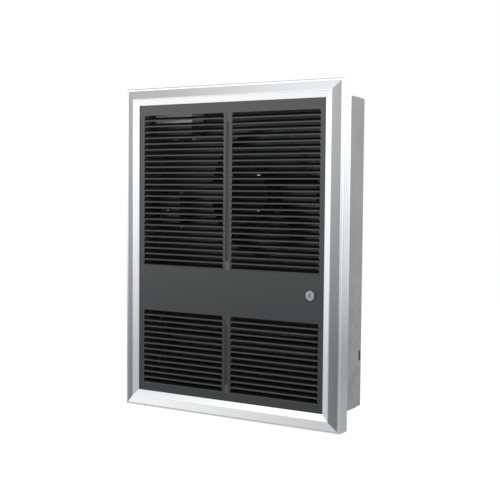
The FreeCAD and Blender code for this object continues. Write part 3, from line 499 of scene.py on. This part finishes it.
def build_fin(level):
    """One fin: a flared collar on the tube and a thin disc that is dished once for stiffness."""
    collar_end, face = collar_length / 2, fin_sheet / 2
    dish_radius = fin_radius * dish_share
    outline = [(tube_radius, -collar_end), (tube_radius + collar_wall, -collar_end)]
    outline += [(tube_radius + collar_flare, -face), (dish_radius, fin_dish - face), (fin_radius, -face)]
    outline += [(fin_radius, face), (dish_radius, fin_dish + face), (tube_radius + collar_flare, face)]
    outline += [(tube_radius + collar_wall, collar_end), (tube_radius, collar_end)]

    def build(shape):
        lathe(shape, outline, Vector((0, element_y, level)), fin_sides, "X")
    return build


def merged(*meshes):
    shape = bmesh.new()
    for mesh in meshes:
        shape.from_mesh(mesh)
    whole = bpy.data.meshes.new("whole")
    shape.to_mesh(whole)
    shape.free()
    return whole


def fins_on(level):
    row_start = (-(fin_count - 1) * fin_pitch / 2, 0.0, 0.0)
    return grow(repeated_row, mesh_from(build_fin(level)), Count=fin_count, Start=row_start,
                Step=(fin_pitch, 0.0, 0.0), Material=browned_steel)


browned_steel = finish_of("browned_steel", (0.36, 0.34, 0.33), (0.25, 0.22, 0.20), (0.34, 0.52), 500.0,
                          patch_scale=22.0)
for name in ("element_upper", "element_lower"):
    upper_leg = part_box(name)[1].z - fin_radius
    fin_meshes = [fins_on(level) for level in (upper_leg, upper_leg - leg_pitch)]
    hairpin = merged(mesh_from(build_hairpin(upper_leg)), *fin_meshes)
    new_piece("finned_" + name, hairpin, browned_steel, "heater", "element_steel", name)


# Controls inside: the disconnect switch, the supply terminals, and two snap discs on the shelf.
# Black and cream phenolic mouldings with plated contacts, all held by zinc-plated screws.
phenolic = finish_of("black_phenolic", (0.034, 0.034, 0.036), (0.026, 0.026, 0.027), (0.36, 0.48), 1200.0,
                     metallic=0.0)
cream = finish_of("cream_moulding", (0.66, 0.61, 0.50), (0.60, 0.55, 0.45), (0.40, 0.52), 900.0, metallic=0.0)
plated = finish_of("plated_brass", (0.74, 0.73, 0.70), (0.66, 0.65, 0.62), (0.14, 0.24), 700.0)
green_dye = finish_of("green_dyed_steel", (0.05, 0.24, 0.10), (0.03, 0.17, 0.07), (0.30, 0.42), 1100.0)
zinc_plate = finish_of("zinc_plate", (0.64, 0.65, 0.67), (0.56, 0.57, 0.59), (0.22, 0.36), 1400.0)
nickel = finish_of("dull_nickel", (0.60, 0.60, 0.59), (0.52, 0.52, 0.51), (0.26, 0.40), 1200.0)
dress(phenolic, "switch_body", "limit_switch", "fan_delay_switch", "thermostat_case")
dress(cream, "terminal_block")
dress(plated, "switch_toggle", "thermostat_terminals")
dress(green_dye, "ground_screw")
dress(nickel, "switch_nut")
dress(zinc_plate, "panel_screws", "strap_screws", "motor_screws", "motor_bolts", "element_nuts")
dress(zinc_plate, "support_screws", "switch_screws", "terminal_screws", "wiring_cover_screws", "disc_screws")


# Grille: one steel sheet with four banks of lanced louvres, each tab bent inwards off its lower edge.
# Satin charcoal powder coat over the formed sheet; the strip between the banks is creased for stiffness.
grille_low, grille_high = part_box("grille_panel")
grille_front = grille_low.y
grille_sheet = 1 * mm
louvre_pitch = 9.525 * mm
slit_height = 7.5 * mm
bar_height = louvre_pitch - slit_height
slit_taper = 1.8 * mm
tab_end_gap = 0.8 * mm
tab_length = 6.6 * mm
tab_lean = math.radians(50)
tab_bend = 1.3 * mm
bar_edge = 0.2 * mm
tip_edge = 0.25 * mm
bank_inner = 7 * mm
bank_outer = 165 * mm
bank_half = (bank_outer - bank_inner) / 2
bank_middle = (bank_outer + bank_inner) / 2
upper_bank = (219.9 * mm, 26)
lower_bank = (-101.325 * mm, 13)
crease_half = 3.4 * mm
crease_flat_share = 0.08
crease_depth = 1.3 * mm
crease_fade = 14 * mm
crease_margin = 1 * mm
crease_angle = 4
thermostat_place = joint_places["thermostat_turn"]
bushing_hole = 4.8 * mm
hole_square = 9 * mm
hole_steps = 8


def rounded(corners, steps=5):
    """Closed outline from (first, second, radius) corners, each rounded off by its radius."""
    straight = 1e-4
    outline = []
    for number, (x, y, radius) in enumerate(corners):
        here = Vector((x, y))
        before = (Vector(corners[number - 1][:2]) - here).normalized()
        after = (Vector(corners[(number + 1) % len(corners)][:2]) - here).normalized()
        opening = before.angle(after)
        if radius == 0 or abs(opening - math.pi) < straight:
            outline.append(here)
            continue
        reach = radius / math.tan(opening / 2)
        centre = here + (before + after).normalized() * radius / math.sin(opening / 2)
        start = here + before * reach - centre
        turn = start.angle_signed(here + after * reach - centre)
        for step in range(steps + 1):
            outline.append(centre + Matrix.Rotation(-turn * step / steps, 2) @ start)
    return outline


def build_louvre(middle, slit_low):
    """A bar of sheet, the tab that leans in from its top edge, and the two tapered ends of the slit above."""
    tip_up, tip_in = tab_length * math.cos(tab_lean), tab_length * math.sin(tab_lean)
    back_up, back_in = -grille_sheet * math.sin(tab_lean), grille_sheet * math.cos(tab_lean)
    root = grille_sheet * math.tan(tab_lean / 2)
    corners = [(-bar_height, 0, bar_edge), (0, 0, tab_bend), (tip_up, tip_in, tip_edge)]
    corners += [(tip_up + back_up, tip_in + back_in, tip_edge)]
    corners += [(-root, grille_sheet, tab_bend - grille_sheet), (-bar_height, grille_sheet, 0)]
    flare = [(bank_half, 0), (bank_half, slit_height), (bank_half - slit_taper, slit_height)]

    def reach_at(up):
        if up < -bar_height / 4:
            return bank_half
        return bank_half - tab_end_gap - slit_taper * max(up, 0) / slit_height

    def point(side, out, into, up):
        return Vector((middle + side * out, grille_front + into, slit_low + up))

    def build(shape):
        section = rounded(corners)
        bar = [[point(side, reach_at(up), into, up) for up, into in section] for side in (-1, 1)]
        ends = [
            [[point(side, out, into, up) for out, up in flare] for into in (0, grille_sheet)]
            for side in (-1, 1)
        ]
        for rings in (bar, *ends):
            for ring in skin(shape, rings):
                shape.faces.new(ring)
    return build


def ring_round_hole(shape, corners):
    """Fills a square cell up to a round hole at its middle, with one face along each side of the square."""
    first_corner = math.radians(225)
    centre = Vector((thermostat_place.x, grille_front, thermostat_place.z))
    count = 4 * hole_steps
    turns = [first_corner + 2 * math.pi * number / count for number in range(count)]
    rim = [shape.verts.new(centre + bushing_hole * Vector((math.cos(t), 0, math.sin(t)))) for t in turns]
    for number in range(4):
        arc = [rim[(number * hole_steps + step) % count] for step in range(hole_steps + 1)]
        first, second = corners[number], corners[(number + 1) % 4]
        shape.faces.new([first, second] + arc[::-1])


def build_surround(shape):
    """Flat sheet round the banks, creased down the middle strip and holed for the thermostat."""
    crease_xs = [crease_half * share for share in (-1, -crease_flat_share, crease_flat_share, 1)]
    hole_xs = (thermostat_place.x - hole_square, thermostat_place.x + hole_square)
    hole_zs = (thermostat_place.z - hole_square, thermostat_place.z + hole_square)
    bank_xs = (-bank_outer, -bank_inner, bank_inner, bank_outer)
    xs = sorted([-grille_high.x, grille_high.x, *bank_xs, *crease_xs, *hole_xs])
    bank_spans = [(top - count * louvre_pitch, top) for top, count in (upper_bank, lower_bank)]
    zs = [grille_low.z, grille_high.z, *hole_zs]
    for low, top in bank_spans:
        zs += [low - crease_margin, low, low + crease_fade, top - crease_fade, top, top + crease_margin]
    zs.sort()

    def front(x, z):
        across = max(0, 1 - abs(x) / crease_half)
        along = max(min((z - low) / crease_fade, (top - z) / crease_fade, 1) for low, top in bank_spans)
        return grille_front + crease_depth * across * max(along, 0)

    grid = {(x, z): shape.verts.new((x, front(x, z), z)) for x in xs for z in zs}
    for x0, x1 in zip(xs, xs[1:]):
        for z0, z1 in zip(zs, zs[1:]):
            mid_x, mid_z = abs(x0 + x1) / 2, (z0 + z1) / 2
            in_bank = bank_inner < mid_x < bank_outer and any(low < mid_z < top for low, top in bank_spans)
            in_hole = (x0, x1) == hole_xs and (z0, z1) == hole_zs
            corners = [grid[x0, z0], grid[x1, z0], grid[x1, z1], grid[x0, z1]]
            if in_hole:
                ring_round_hole(shape, corners)
            elif not in_bank:
                shape.faces.new(corners)
    loose = [vert for vert in shape.verts if not vert.link_faces]
    bmesh.ops.delete(shape, geom=loose, context="VERTS")


def thickened(mesh, thickness, crease):
    """Gives a one-sided front sheet its thickness, inwards."""
    shape = bmesh.new()
    shape.from_mesh(mesh)
    for face in shape.faces:
        if face.normal.y > 0:
            face.normal_flip()
    rear = bmesh.ops.extrude_face_region(shape, geom=shape.faces[:])
    moved = [item for item in rear["geom"] if isinstance(item, bmesh.types.BMVert)]
    bmesh.ops.translate(shape, verts=moved, vec=Vector((0, thickness, 0)))
    bmesh.ops.recalc_face_normals(shape, faces=shape.faces[:])
    shape.to_mesh(mesh)
    shape.free()
    smooth_between(mesh, crease)
    return mesh


coat_gloss = 1.0
coat_index = 1.53
powder_coat = finish_of("charcoal_powder_coat", (0.0080, 0.0075, 0.0072), (0.0065, 0.0062, 0.0060),
                        (0.19, 0.27), 1500.0, patch_scale=9.0, metallic=0.0, bump=0.06)
shader_of(powder_coat).inputs["Specular IOR Level"].default_value = coat_gloss
shader_of(powder_coat).inputs["IOR"].default_value = coat_index
bank_meshes = []
for bank_top, slit_count in (upper_bank, lower_bank):
    for middle in (-bank_middle, bank_middle):
        louvre = mesh_from(build_louvre(middle, bank_top - slit_height))
        bank_meshes.append(grow(repeated_row, louvre, Count=slit_count, Step=(0.0, 0.0, -louvre_pitch),
                                Material=powder_coat))
surround = thickened(mesh_from(build_surround), grille_sheet, crease_angle)
grille = merged(surround, *bank_meshes)
new_piece("louvre_grille", grille, powder_coat, "heater", "grille_paint", "grille_panel")


# Frame: four mitred lengths of one bright aluminium extrusion that grip the grille's edge in a groove.
# Clear anodised, with die lines along each length, a rounded bead outside and fine grooves on the return.
frame_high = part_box("frame_top")[1]
frame_half = frame_high.x
frame_half_tall = frame_high.z
frame_wall_y = frame_high.y
frame_depth = 26 * mm
frame_wall = 1.8 * mm
frame_face = 28 * mm
bead_width = 3.5 * mm
bead_round = 1.3 * mm
ridge_inset = 17.6 * mm
ridge_rise = 5 * mm
ridge_round = 3 * mm
lip_thickness = 1.5 * mm
lip_undercut = 0.9 * mm
grip_depth = 7 * mm
grip_width = 1.2 * mm
rear_leg_end = 26.5 * mm
return_grooves = 3
groove_pitch = 6.1 * mm
groove_width = 1.5 * mm
groove_depth = 0.9 * mm
groove_edge = 0.12 * mm
soft_edge = 0.6 * mm
crisp_edge = 0.25 * mm
edge_steps = 4
mitre_gap = 0.04 * mm
frame_crease = 25


def frame_section():
    """Moulding as (inset from the outer edge, height forward of the wall), with its edges rounded."""
    corners = [(0, 0, crisp_edge)]
    for number in range(return_grooves, 0, -1):
        middle = frame_depth - number * groove_pitch
        low, high = middle - groove_width / 2, middle + groove_width / 2
        groove = ((0, low), (groove_depth, low), (groove_depth, high), (0, high))
        corners += [(inset, forward, groove_edge) for inset, forward in groove]
    grip = frame_face - grip_depth
    web = grip - frame_wall
    under = frame_depth - frame_wall
    leg_front = frame_depth - grip_width
    leg_rear = leg_front - frame_wall
    corners += [(0, frame_depth, bead_round), (bead_width, frame_depth, soft_edge)]
    corners += [(ridge_inset, frame_depth + ridge_rise, ridge_round)]
    corners += [(frame_face, frame_depth + lip_thickness, crisp_edge)]
    corners += [(frame_face - lip_undercut, frame_depth, crisp_edge), (grip, frame_depth, 0)]
    corners += [(grip, leg_front, 0), (rear_leg_end, leg_front, crisp_edge)]
    corners += [(rear_leg_end, leg_rear, crisp_edge), (web, leg_rear, 0), (web, under, 0)]
    corners += [(frame_wall, under, 0), (frame_wall, 0, crisp_edge)]
    return rounded(corners, edge_steps)


def build_member(half_length, reach, turn):
    """One length of the moulding, mitred at both ends, turned about the middle of the frame."""
    turned = Matrix.Rotation(math.radians(turn), 4, "Y")

    def point(side, inset, forward):
        along = side * (half_length - inset - mitre_gap)
        return turned @ Vector((along, frame_wall_y - forward, reach - inset))

    def build(shape):
        section = frame_section()
        rings = [[point(side, inset, forward) for inset, forward in section] for side in (-1, 1)]
        for ring in skin(shape, rings):
            shape.faces.new(ring)
    return build


def extruded_finish(name, stretch):
    return finish_of(name, (0.905, 0.902, 0.900), (0.875, 0.874, 0.876), (0.10, 0.18), 1500.0, stretch,
                     patch_scale=7.0, bump=0.06)


level_aluminium = extruded_finish("anodised_level_lengths", (0.004, 1, 1))
upright_aluminium = extruded_finish("anodised_upright_lengths", (1, 1, 0.004))
members = (
    ("top", frame_half, frame_half_tall, 0, level_aluminium),
    ("right", frame_half_tall, frame_half, 90, upright_aluminium),
    ("bottom", frame_half, frame_half_tall, 180, level_aluminium),
    ("left", frame_half_tall, frame_half, 270, upright_aluminium),
)
for name, half_length, reach, turn, finish in members:
    moulding = mesh_from(build_member(half_length, reach, turn), frame_crease)
    member = new_piece(name + "_moulding", moulding, finish, "heater", "frame_aluminium", "frame_" + name)
    flats = member.modifiers.new("even_flats", "WEIGHTED_NORMAL")
    flats.keep_sharp = True


# Cover screws: pan-head screws in the corner keys and hooks, and one dark screw up through the bottom length.
# Cold-headed steel with a pressed cross recess, zinc plated but for the dark one that shows below.
recess_width_share = 0.26
recess_length_share = 1.15
screw_crease = 35
facing_back = (math.radians(-90), 0.0, 0.0)
facing_down = (math.radians(180), 0.0, 0.0)
small_head = (3.4 * mm, 2 * mm)
key_shank = (1.5 * mm, 5.6 * mm)
key_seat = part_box("corner_keys")[1].y
key_inset = 10.5 * mm
key_steps = (20 * mm, 34 * mm)
hook_low, hook_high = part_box("hook_screws")
hook_shank = (1.5 * mm, 3 * mm)
hook_side = 100 * mm
hook_step = 9 * mm
hook_z = (hook_low.z + hook_high.z) / 2
hook_seat = hook_high.y - small_head[1]
cover_low, cover_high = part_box("cover_screw")
cover_head = (4.2 * mm, 2.4 * mm)
cover_shank = (2.1 * mm, cover_high.z + frame_half_tall)


def make_screw_tree():
    """Sets a pan-head screw with a cross recess on every point; its head faces up until Turn is applied."""
    tree, given, end = new_group(
        "pan_head_screws", "GeometryNodeTree",
        [("Geometry", "Geometry", None), ("Shank radius", "Float", 0.001), ("Shank length", "Float", 0.005),
         ("Head radius", "Float", 0.003), ("Head height", "Float", 0.002),
         ("Turn", "Vector", (0.0, 0.0, 0.0)), ("Material", "Material", None)],
        [("Geometry", "Geometry")],
    )

    def times(value, share):
        return maths(tree, "MULTIPLY", value, share)

    def vector(x, y, z):
        return put(tree, "ShaderNodeCombineXYZ", X=x, Y=y, Z=z).outputs[0]

    def lifted(shape, rise):
        lift = vector(0.0, 0.0, rise)
        return put(tree, "GeometryNodeTransform", Geometry=shape.outputs[0], Translation=lift).outputs[0]

    radius, height = given["Head radius"], given["Head height"]
    ball = put(tree, "GeometryNodeMeshUVSphere", Segments=24, Rings=12, Radius=1.0)
    dome = put(tree, "GeometryNodeTransform", Geometry=ball.outputs[0], Scale=vector(radius, radius, height))
    cuts = put(tree, "GeometryNodeJoinGeometry")
    width, length = times(radius, recess_width_share), times(radius, recess_length_share)
    for size in (vector(width, length, height), vector(length, width, height)):
        arm = put(tree, "GeometryNodeMeshCube", Size=size)
        tree.links.new(lifted(arm, height), cuts.inputs[0])
    wide, tall = times(radius, 4.0), times(height, 4.0)
    below = put(tree, "GeometryNodeMeshCube", Size=vector(wide, wide, tall))
    tree.links.new(lifted(below, times(height, -2.0)), cuts.inputs[0])
    head = put(tree, "GeometryNodeMeshBoolean", {"operation": "DIFFERENCE", "solver": "EXACT"})
    tree.links.new(dome.outputs[0], head.inputs[0])
    tree.links.new(cuts.outputs[0], head.inputs[1])
    head.inputs["Self Intersection"].default_value = True
    shank = put(tree, "GeometryNodeMeshCylinder", Vertices=16, Radius=given["Shank radius"],
                Depth=given["Shank length"])
    screw = put(tree, "GeometryNodeJoinGeometry")
    tree.links.new(head.outputs[0], screw.inputs[0])
    tree.links.new(lifted(shank, times(given["Shank length"], -0.5)), screw.inputs[0])
    placed = put(tree, "GeometryNodeInstanceOnPoints", Points=given["Geometry"], Instance=screw.outputs[0],
                 Rotation=given["Turn"])
    end_tree(tree, end, placed.outputs[0], given["Material"])
    return tree


pan_head_screws = make_screw_tree()


def screw_set(name, places, turn, shank, head, material, slot):
    """Replaces a CAD node of screws by detailed ones; shank and head are each a radius and a length."""
    points = bpy.data.meshes.new("places")
    points.from_pydata(places, [], [])
    mesh = grow(pan_head_screws, points, Shank_radius=shank[0], Shank_length=shank[1], Head_radius=head[0],
                Head_height=head[1], Turn=turn, Material=material)
    smooth_between(mesh, screw_crease)
    new_piece("driven_" + name, mesh, material, "heater", slot, name)


key_places = []
for side in (-1, 1):
    for level in (-1, 1):
        for step in key_steps:
            key_places.append((side * (frame_half - step), key_seat, level * (frame_half_tall - key_inset)))
            key_places.append((side * (frame_half - key_inset), key_seat, level * (frame_half_tall - step)))
hook_xs = [side * hook_side + step * hook_step for side in (-1, 1) for step in (-1, 1)]
hook_places = [(x, hook_seat, hook_z) for x in hook_xs]
cover_places = [(0, (cover_low.y + cover_high.y) / 2, -frame_half_tall)]
screw_set("corner_screws", key_places, facing_back, key_shank, small_head, zinc_plate, "zinc_screw")
screw_set("hook_screws", hook_places, facing_back, hook_shank, small_head, zinc_plate, "zinc_screw")
screw_set("cover_screw", cover_places, facing_down, cover_shank, cover_head, black_oxide, "black_screw")


# Thermostat at the front: a threaded bushing through the grille, its hex nut, and the slotted spindle inside.
# Dull nickel-plated brass with turned steel; the nut's corners are chamfered and stand one up, one down.
nut_low, nut_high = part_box("thermostat_nut")
bushing_low, bushing_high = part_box("thermostat_bushing")
spindle_low, spindle_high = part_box("thermostat_spindle")
dial_axis = Vector((thermostat_place.x, 0, thermostat_place.z))
nut_flat = (nut_high.x - nut_low.x) / 2
nut_sides = 96
nut_bore_gap = 0.02 * mm
nut_chamfer_share = 0.985
nut_chamfer_slope = math.tan(math.radians(30))
nut_crease = 20
bushing_radius = (bushing_high.x - bushing_low.x) / 2
bushing_bore_gap = 0.04 * mm
bushing_chamfer = 0.4 * mm
bushing_sides = 40
bushing_crease = 30
thread_pitch = 0.8 * mm
thread_depth = 0.3 * mm
spindle_radius = (spindle_high.x - spindle_low.x) / 2
spindle_core = 0.05 * mm
spindle_edge = 0.3 * mm
spindle_sides = 48
half_slot = 0.5 * mm
slot_depth = 1.4 * mm


def build_nut(shape):
    """Hex nut with a bore, its outer corners taken off by a shallow cone."""
    sixth = math.pi / 3
    bore = bushing_radius + nut_bore_gap
    chamfer_radius = nut_flat * nut_chamfer_share
    rings = [[], [], [], [], []]
    for number in range(nut_sides):
        turn = 2 * math.pi * number / nut_sides
        around = Vector((math.cos(turn), 0, math.sin(turn)))
        radius = nut_flat / math.cos((turn + sixth / 2) % sixth - sixth / 2)
        drop = max(0, radius - chamfer_radius) * nut_chamfer_slope
        outline = [(bore, nut_high.y), (radius, nut_high.y), (radius, nut_low.y + drop)]
        outline += [(chamfer_radius, nut_low.y), (bore, nut_low.y)]
        for ring, (reach, y) in zip(rings, outline):
            ring.append(dial_axis + around * reach + Vector((0, y, 0)))
    skin(shape, rings, round_trip=True)


def build_bushing(shape):
    """Tube with a chamfered end and a row of thread crests outside."""
    inner = spindle_radius + bushing_bore_gap
    root = bushing_radius - thread_depth
    outline = [(inner, bushing_low.y), (bushing_radius - bushing_chamfer, bushing_low.y)]
    along = bushing_low.y + bushing_chamfer
    while along + thread_pitch < bushing_high.y:
        outline += [(root, along), (bushing_radius, along + thread_pitch / 2)]
        along += thread_pitch
    outline += [(root, bushing_high.y), (inner, bushing_high.y)]
    lathe(shape, outline, dial_axis, bushing_sides)


def build_spindle(shape):
    """Spindle with a screwdriver slot: half rounds either side of the slot above its floor, one rod below."""
    slot_floor = spindle_low.y + slot_depth
    start = math.asin(half_slot / spindle_radius)
    steps = spindle_sides // 2
    turns = [start + (math.pi - 2 * start) * step / steps for step in range(steps + 1)]
    outline = [(spindle_radius, slot_floor), (spindle_radius, spindle_low.y + spindle_edge)]
    outline += [(spindle_radius - spindle_edge, spindle_low.y)]

    def point(side, radius, y, turn):
        out = side * max(radius * math.sin(turn), half_slot)
        return dial_axis + Vector((out, y, radius * math.cos(turn)))

    for side in (-1, 1):
        rings = [[point(side, radius, y, turn) for turn in turns] for radius, y in outline]
        made = skin(shape, rings)
        shape.faces.new(made[0])
        shape.faces.new(made[-1])
    rod = [(spindle_core, slot_floor), (spindle_radius, slot_floor), (spindle_radius, spindle_high.y)]
    rod += [(spindle_core, spindle_high.y)]
    lathe(shape, rod, dial_axis, spindle_sides)


turned_steel = finish_of("turned_steel", (0.40, 0.40, 0.41), (0.33, 0.33, 0.34), (0.24, 0.38), 1600.0)
nut_mesh = mesh_from(build_nut, nut_crease)
bushing_mesh = mesh_from(build_bushing, bushing_crease)
spindle_mesh = mesh_from(build_spindle)
new_piece("dial_nut", nut_mesh, nickel, "heater", "nickel", "thermostat_nut")
new_piece("dial_bushing", bushing_mesh, nickel, "heater", "nickel", "thermostat_bushing")
new_piece("dial_spindle", spindle_mesh, turned_steel, "thermostat_spindle", "spindle_steel",
          "thermostat_spindle")


# Studio: a wide white floor well below the heater, a white surround, and large soft lamps above and in front.
# What bright metal mirrors is graded: it darkens in a band just under the horizon and in places round about.
floor_drop = -0.62
floor_reach = 30.0
floor_tone = (0.86, 0.86, 0.86, 1)
floor_glow = 0.64
white = (1, 1, 1, 1)
fill_level = 0.42
mirror_level = 1.5
slant_share = 0.5
slant_from = -0.46
slant_to = -0.60


def stage_material(name):
    """Matt white that glows a little to the camera, so that the ground is white and still takes a shadow."""
    material = bpy.data.materials.new(name)
    material.use_nodes = True
    tree = material.node_tree
    tree.nodes.clear()
    path = tree.nodes.new("ShaderNodeLightPath")
    seen = maths(tree, "MAXIMUM", path.outputs["Is Camera Ray"], path.outputs["Is Glossy Ray"])
    glow = put(tree, "ShaderNodeEmission", Color=white, Strength=maths(tree, "MULTIPLY", seen, floor_glow))
    matt = put(tree, "ShaderNodeBsdfDiffuse", Color=floor_tone)
    both = put(tree, "ShaderNodeAddShader")
    tree.links.new(glow.outputs[0], both.inputs[0])
    tree.links.new(matt.outputs[0], both.inputs[1])
    end = tree.nodes.new("ShaderNodeOutputMaterial")
    tree.links.new(both.outputs[0], end.inputs[0])
    return material


floor_mesh = bpy.data.meshes.new("floor")
floor_sides = ((-1, -1), (1, -1), (1, 1), (-1, 1))
floor_corners = [(x * floor_reach, y * floor_reach, floor_drop) for x, y in floor_sides]
floor_mesh.from_pydata(floor_corners, [], [(0, 1, 2, 3)])
floor_mesh.materials.append(stage_material("white_floor"))
floor = bpy.data.objects.new("floor", floor_mesh)
bpy.context.scene.collection.objects.link(floor)
floor.visible_glossy = False

world = bpy.data.worlds.new("white_surround")
bpy.context.scene.world = world
world.use_nodes = True
sky = world.node_tree
sky.nodes.clear()
towards = put(sky, "ShaderNodeSeparateXYZ", Vector=put(sky, "ShaderNodeTexCoord").outputs["Generated"])
to_right, to_back, to_top = towards.outputs
leftward = maths(sky, "ARCTAN2", maths(sky, "MULTIPLY", to_right, -1), maths(sky, "MULTIPLY", to_back, -1))


def surround_ramp(value, low, high, stops):
    """Cool grey ramp over a direction's turn or height, from (place, brightness) stops from low to high."""
    red_fall, green_fall = 1.08, 1.04
    share = put(sky, "ShaderNodeMapRange", Value=value, From_Min=low, From_Max=high)
    ramp = put(sky, "ShaderNodeValToRGB", Fac=share.outputs[0])
    elements = ramp.color_ramp.elements
    while len(elements) < len(stops):
        elements.new(0.5)
    for element, (place, level) in zip(elements, stops):
        element.position = (place - low) / (high - low)
        element.color = (level ** red_fall, level ** green_fall, level, 1)
    return ramp.outputs[0]


def by_height(levels):
    """Brightness by degrees above the horizon."""
    return surround_ramp(to_top, -1, 1, [(math.sin(math.radians(up)), level) for up, level in levels])


def by_turn(levels):
    """Brightness by degrees to the left of straight in front."""
    stops = [(math.radians(turn), level) for turn, level in levels]
    return surround_ramp(leftward, -math.pi, math.pi, stops)


# Brightness by height, with two forms of the dark band, by turn, and how the two sides differ by height.
low_end = [(-90, 0.53), (-43, 0.52), (-25, 0.80), (-20, 0.62)]
high_end = [(2, 0.93), (6, 1.0), (20, 0.82), (41, 0.47), (54, 0.10), (90, 0.045)]
deep_band = [
    (-16, 0.42), (-13.5, 0.34), (-12, 0.33), (-10, 0.26), (-8.5, 0.28), (-6.5, 0.42), (-4, 0.62), (-1, 0.78),
]
soft_band = [
    (-16, 0.50), (-12, 0.45), (-10, 0.46), (-8.5, 0.55), (-6.5, 0.63), (-4, 0.70), (-1, 0.80),
]
softness = [
    (-180, 0.15), (-140, 0.15), (-120, 0.45), (-60, 0.8), (-30, 0.4), (-12, 0.35), (1, 0.7), (12, 0.25),
    (22, 0.0), (45, 0.0), (58, 0.9), (80, 1.0), (130, 0.8), (180, 0.5),
]
turns = [
    (-180, 0.92), (-120, 0.85), (-94, 1.0), (-86, 1.5), (-64, 1.5), (-46, 0.6), (-28, 0.29), (-14, 0.29),
    (-5, 0.60), (1, 0.98), (10, 0.94), (24, 0.84), (42, 1.0), (50, 1.2), (57, 1.2), (64, 1.0), (71, 0.6),
    (77, 0.31), (110, 0.32), (130, 0.85), (180, 0.92),
]
tilts = [(-90, 0.36), (-46, 0.36), (-36, 0.57), (-12, 0.5), (10, 0.5), (22, 0.97), (90, 1.0)]
deep, gentle = (by_height(low_end + band + high_end) for band in (deep_band, soft_band))
upright = mixed(sky, by_turn(softness), deep, gentle)
band_colour = mixed(sky, 1.0, upright, by_turn(turns), "MULTIPLY")
across = put(sky, "ShaderNodeMapRange", Value=to_right, From_Min=slant_from, From_Max=slant_to,
             To_Min=-1.0, To_Max=1.0)
upward = put(sky, "ShaderNodeMapRange", Value=by_height(tilts), To_Min=-1.0, To_Max=1.0)
slant = maths(sky, "MULTIPLY", across.outputs[0], upward.outputs[0])
slanted_level = put(sky, "ShaderNodeMapRange", Value=slant, From_Min=-1.0, From_Max=1.0,
                    To_Min=mirror_level * (1 + slant_share), To_Max=mirror_level * (1 - slant_share))
light_path = sky.nodes.new("ShaderNodeLightPath")
mirrored = put(sky, "ShaderNodeBackground", Color=band_colour, Strength=slanted_level.outputs[0])
fill = put(sky, "ShaderNodeBackground", Color=white, Strength=fill_level)
plain = put(sky, "ShaderNodeBackground", Color=white, Strength=1.0)


def chosen(ray, others, shown):
    """One background for a kind of ray, and another for all others."""
    node = put(sky, "ShaderNodeMixShader")
    sky.links.new(light_path.outputs[ray], node.inputs[0])
    sky.links.new(others.outputs[0], node.inputs[1])
    sky.links.new(shown.outputs[0], node.inputs[2])
    return node


surround_end = sky.nodes.new("ShaderNodeOutputWorld")
lit = chosen("Is Glossy Ray", fill, mirrored)
sky.links.new(chosen("Is Camera Ray", lit, plain).outputs[0], surround_end.inputs[0])

heart = Vector((0, -0.06, 0))
lamps = (
    ("overhead_softbox", (0.2, -1.1, 2.1), (2.4, 1.6), 26),
    ("front_left_softbox", (-1.9, -1.7, 0.7), (1.6, 2.0), 12),
    ("right_softbox", (2.3, 0.5, 0.0), (1.4, 2.0), 6),
    ("camera_side_lamp", (1.0, -1.75, 0.25), (0.8, 0.8), 4),
)
for name, place, size, power in lamps:
    lamp = bpy.data.lights.new(name, "AREA")
    lamp.shape = "RECTANGLE"
    lamp.size, lamp.size_y = size
    lamp.energy = power
    holder = bpy.data.objects.new(name, lamp)
    holder.location = place
    holder.rotation_euler = (heart - Vector(place)).to_track_quat("-Z", "Y").to_euler()
    holder.visible_glossy = False
    bpy.context.scene.collection.objects.link(holder)

camera_place = (0.8608, -1.4471, 0.0959)
camera_turns = (31.67, 86.685, 0.48)
camera = bpy.data.cameras.new("camera")
camera.sensor_width = 36.0
camera.lens = 72.14
viewer = bpy.data.objects.new("camera", camera)
bpy.context.scene.collection.objects.link(viewer)
yaw, pitch, roll = (math.radians(turn) for turn in camera_turns)
aim = Matrix.Rotation(yaw, 4, "Z") @ Matrix.Rotation(pitch, 4, "X") @ Matrix.Rotation(roll, 4, "Z")
viewer.matrix_world = Matrix.Translation(camera_place) @ aim
bpy.context.scene.camera = viewer
bpy.context.scene.view_settings.view_transform = "Standard"
